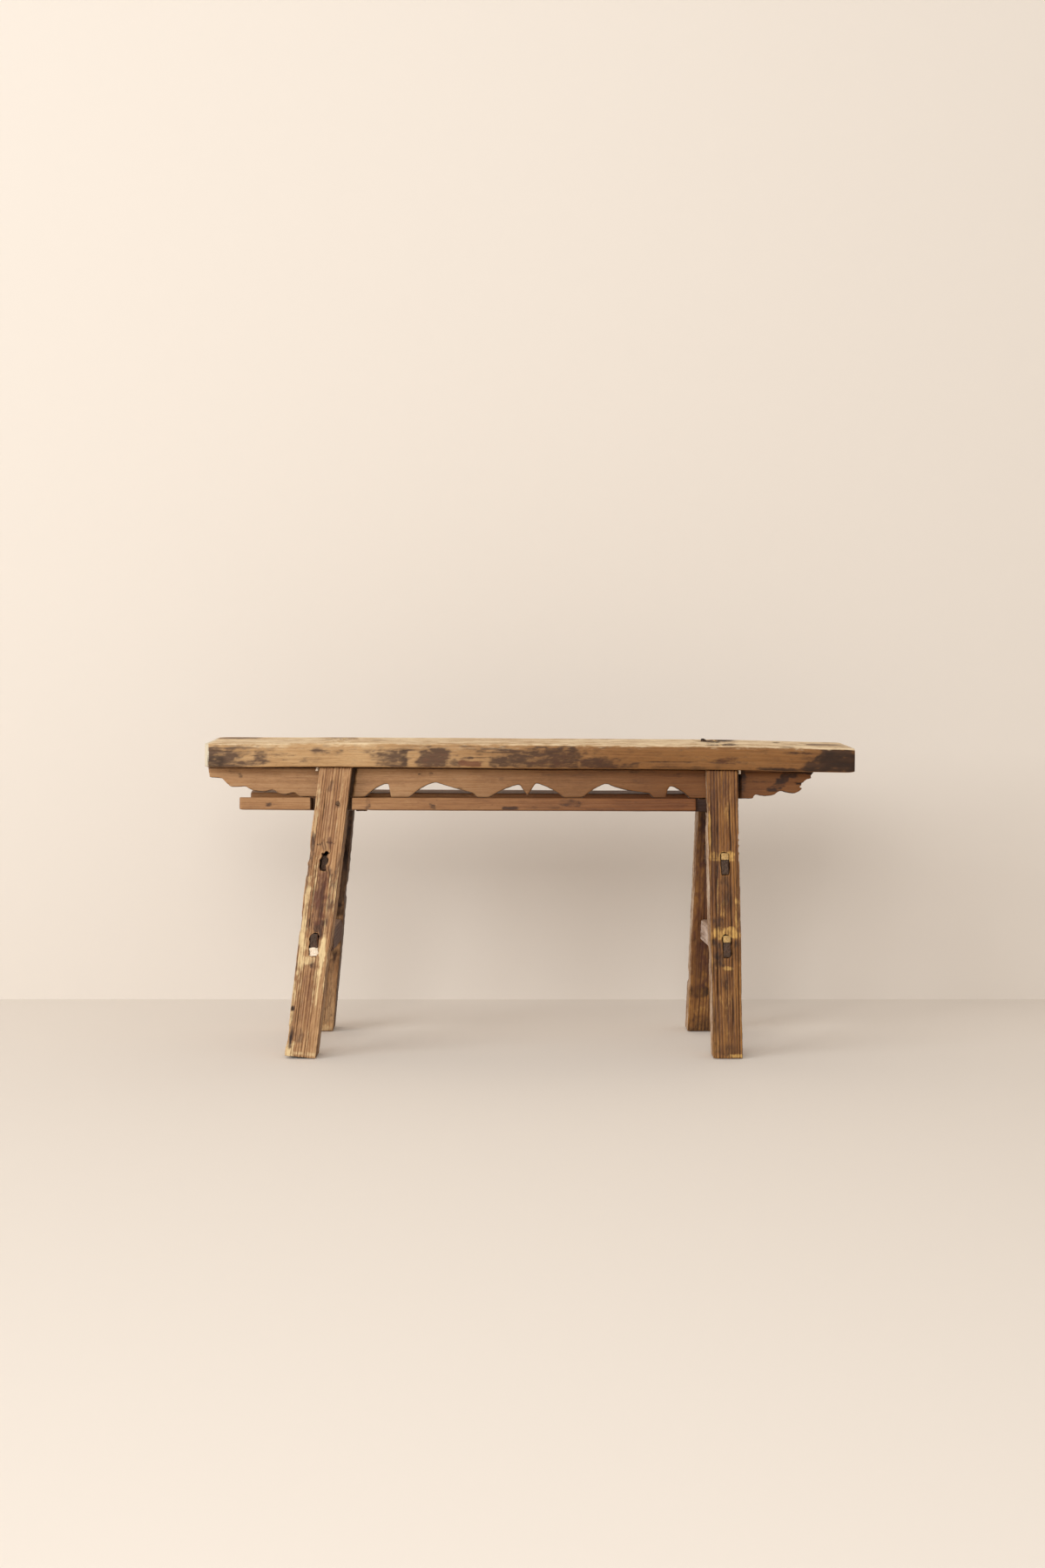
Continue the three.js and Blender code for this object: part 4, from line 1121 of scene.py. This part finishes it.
# Floor, light and camera

BACKDROP_COLOUR = srgb(228, 220, 211)
SKY_COLOUR, SKY_STRENGTH = (1.0, 0.935, 0.87, 1), 0.65
WINDOW_POWER, FRONT_POWER = 205, 69


def make_stage():
    """A pale floor and wall, clear from below and behind so that every side can be looked at."""
    half_width, front, height = 6.0, -6.0, 5.0
    edges = [(front, 0.0), (WALL_Y, 0.0), (WALL_Y, height)]
    vertices = [(x, y, z) for y, z in edges for x in (-half_width, half_width)]
    mesh = bpy.data.meshes.new("backdrop")
    mesh.from_pydata(vertices, [], [(0, 1, 3, 2), (2, 3, 5, 4)])
    backdrop = add_object("backdrop", mesh)
    shader = Shader("backdrop_plain")
    inputs = {"Base Color": BACKDROP_COLOUR, "Roughness": 0.9}
    surface = shader.add("ShaderNodeBsdfPrincipled", inputs)
    surface.inputs["Specular IOR Level"].default_value = 0.1
    reverse = shader.add("ShaderNodeNewGeometry", {}).outputs["Backfacing"]
    clear = shader.add("ShaderNodeBsdfTransparent", {}).outputs["BSDF"]
    either = shader.add("ShaderNodeMixShader", {0: reverse, 1: surface.outputs["BSDF"], 2: clear})
    shader.add("ShaderNodeOutputMaterial", {"Surface": either.outputs["Shader"]})
    mesh.materials.append(shader.material)


def add_lamp(name, place, target, size, power, colour):
    lamp = bpy.data.lights.new(name, "AREA")
    lamp.shape = "RECTANGLE"
    lamp.size, lamp.size_y = size
    lamp.energy = power
    lamp.color = colour
    holder = add_object(name, lamp)
    holder.location = place
    holder.rotation_euler = (Vector(target) - Vector(place)).to_track_quat("-Z", "Y").to_euler()


def light_scene():
    world = bpy.data.worlds.new("studio")
    world.use_nodes = True
    sky = world.node_tree.nodes["Background"].inputs
    sky["Color"].default_value = SKY_COLOUR
    sky["Strength"].default_value = SKY_STRENGTH
    bpy.context.scene.world = world
    add_lamp("window", (-5.8, -3.6, 2.5), (0, 0, 0.4), (4.2, 3.2), WINDOW_POWER, (0.96, 0.99, 1.0))
    add_lamp("front", (-0.8, -4.2, 2.6), (0, 0, 0.3), (2.6, 1.8), FRONT_POWER, (1.0, 0.99, 0.97))


def place_camera():
    camera = bpy.data.cameras.new("photograph")
    camera.lens = LENS
    camera.sensor_width = SENSOR
    holder = add_object("photograph", camera)
    holder.location = EYE
    holder.rotation_euler = (math.pi / 2 - PITCH_DOWN, 0, 0)
    bpy.context.scene.camera = holder


def dress_bench():
    materials = make_materials()
    dress_seat(materials["seat"])
    for index, (node, look) in enumerate(LEG_LOOKS.items()):
        name = "leg_light" if node.endswith("left") else "leg_dark"
        dress_leg(node, look, materials[name], 100 + 60 * index)
    for index, end in enumerate(("front", "back")):
        dress_apron(f"apron_{end}", materials["apron"], 700 + 20 * index)
        dress_rail(f"rail_{end}", materials["rail"], 750 + 20 * index)
    for index, end in enumerate(("left_upper", "left_lower", "right_upper", "right_lower")):
        dress_stretcher(f"stretcher_{end}", materials["stretcher"], 800 + 10 * index)
    dress_small_pieces(materials)


place_camera()
light_scene()
make_stage()
dress_bench()
bpy.context.scene.view_settings.view_transform = "Standard"
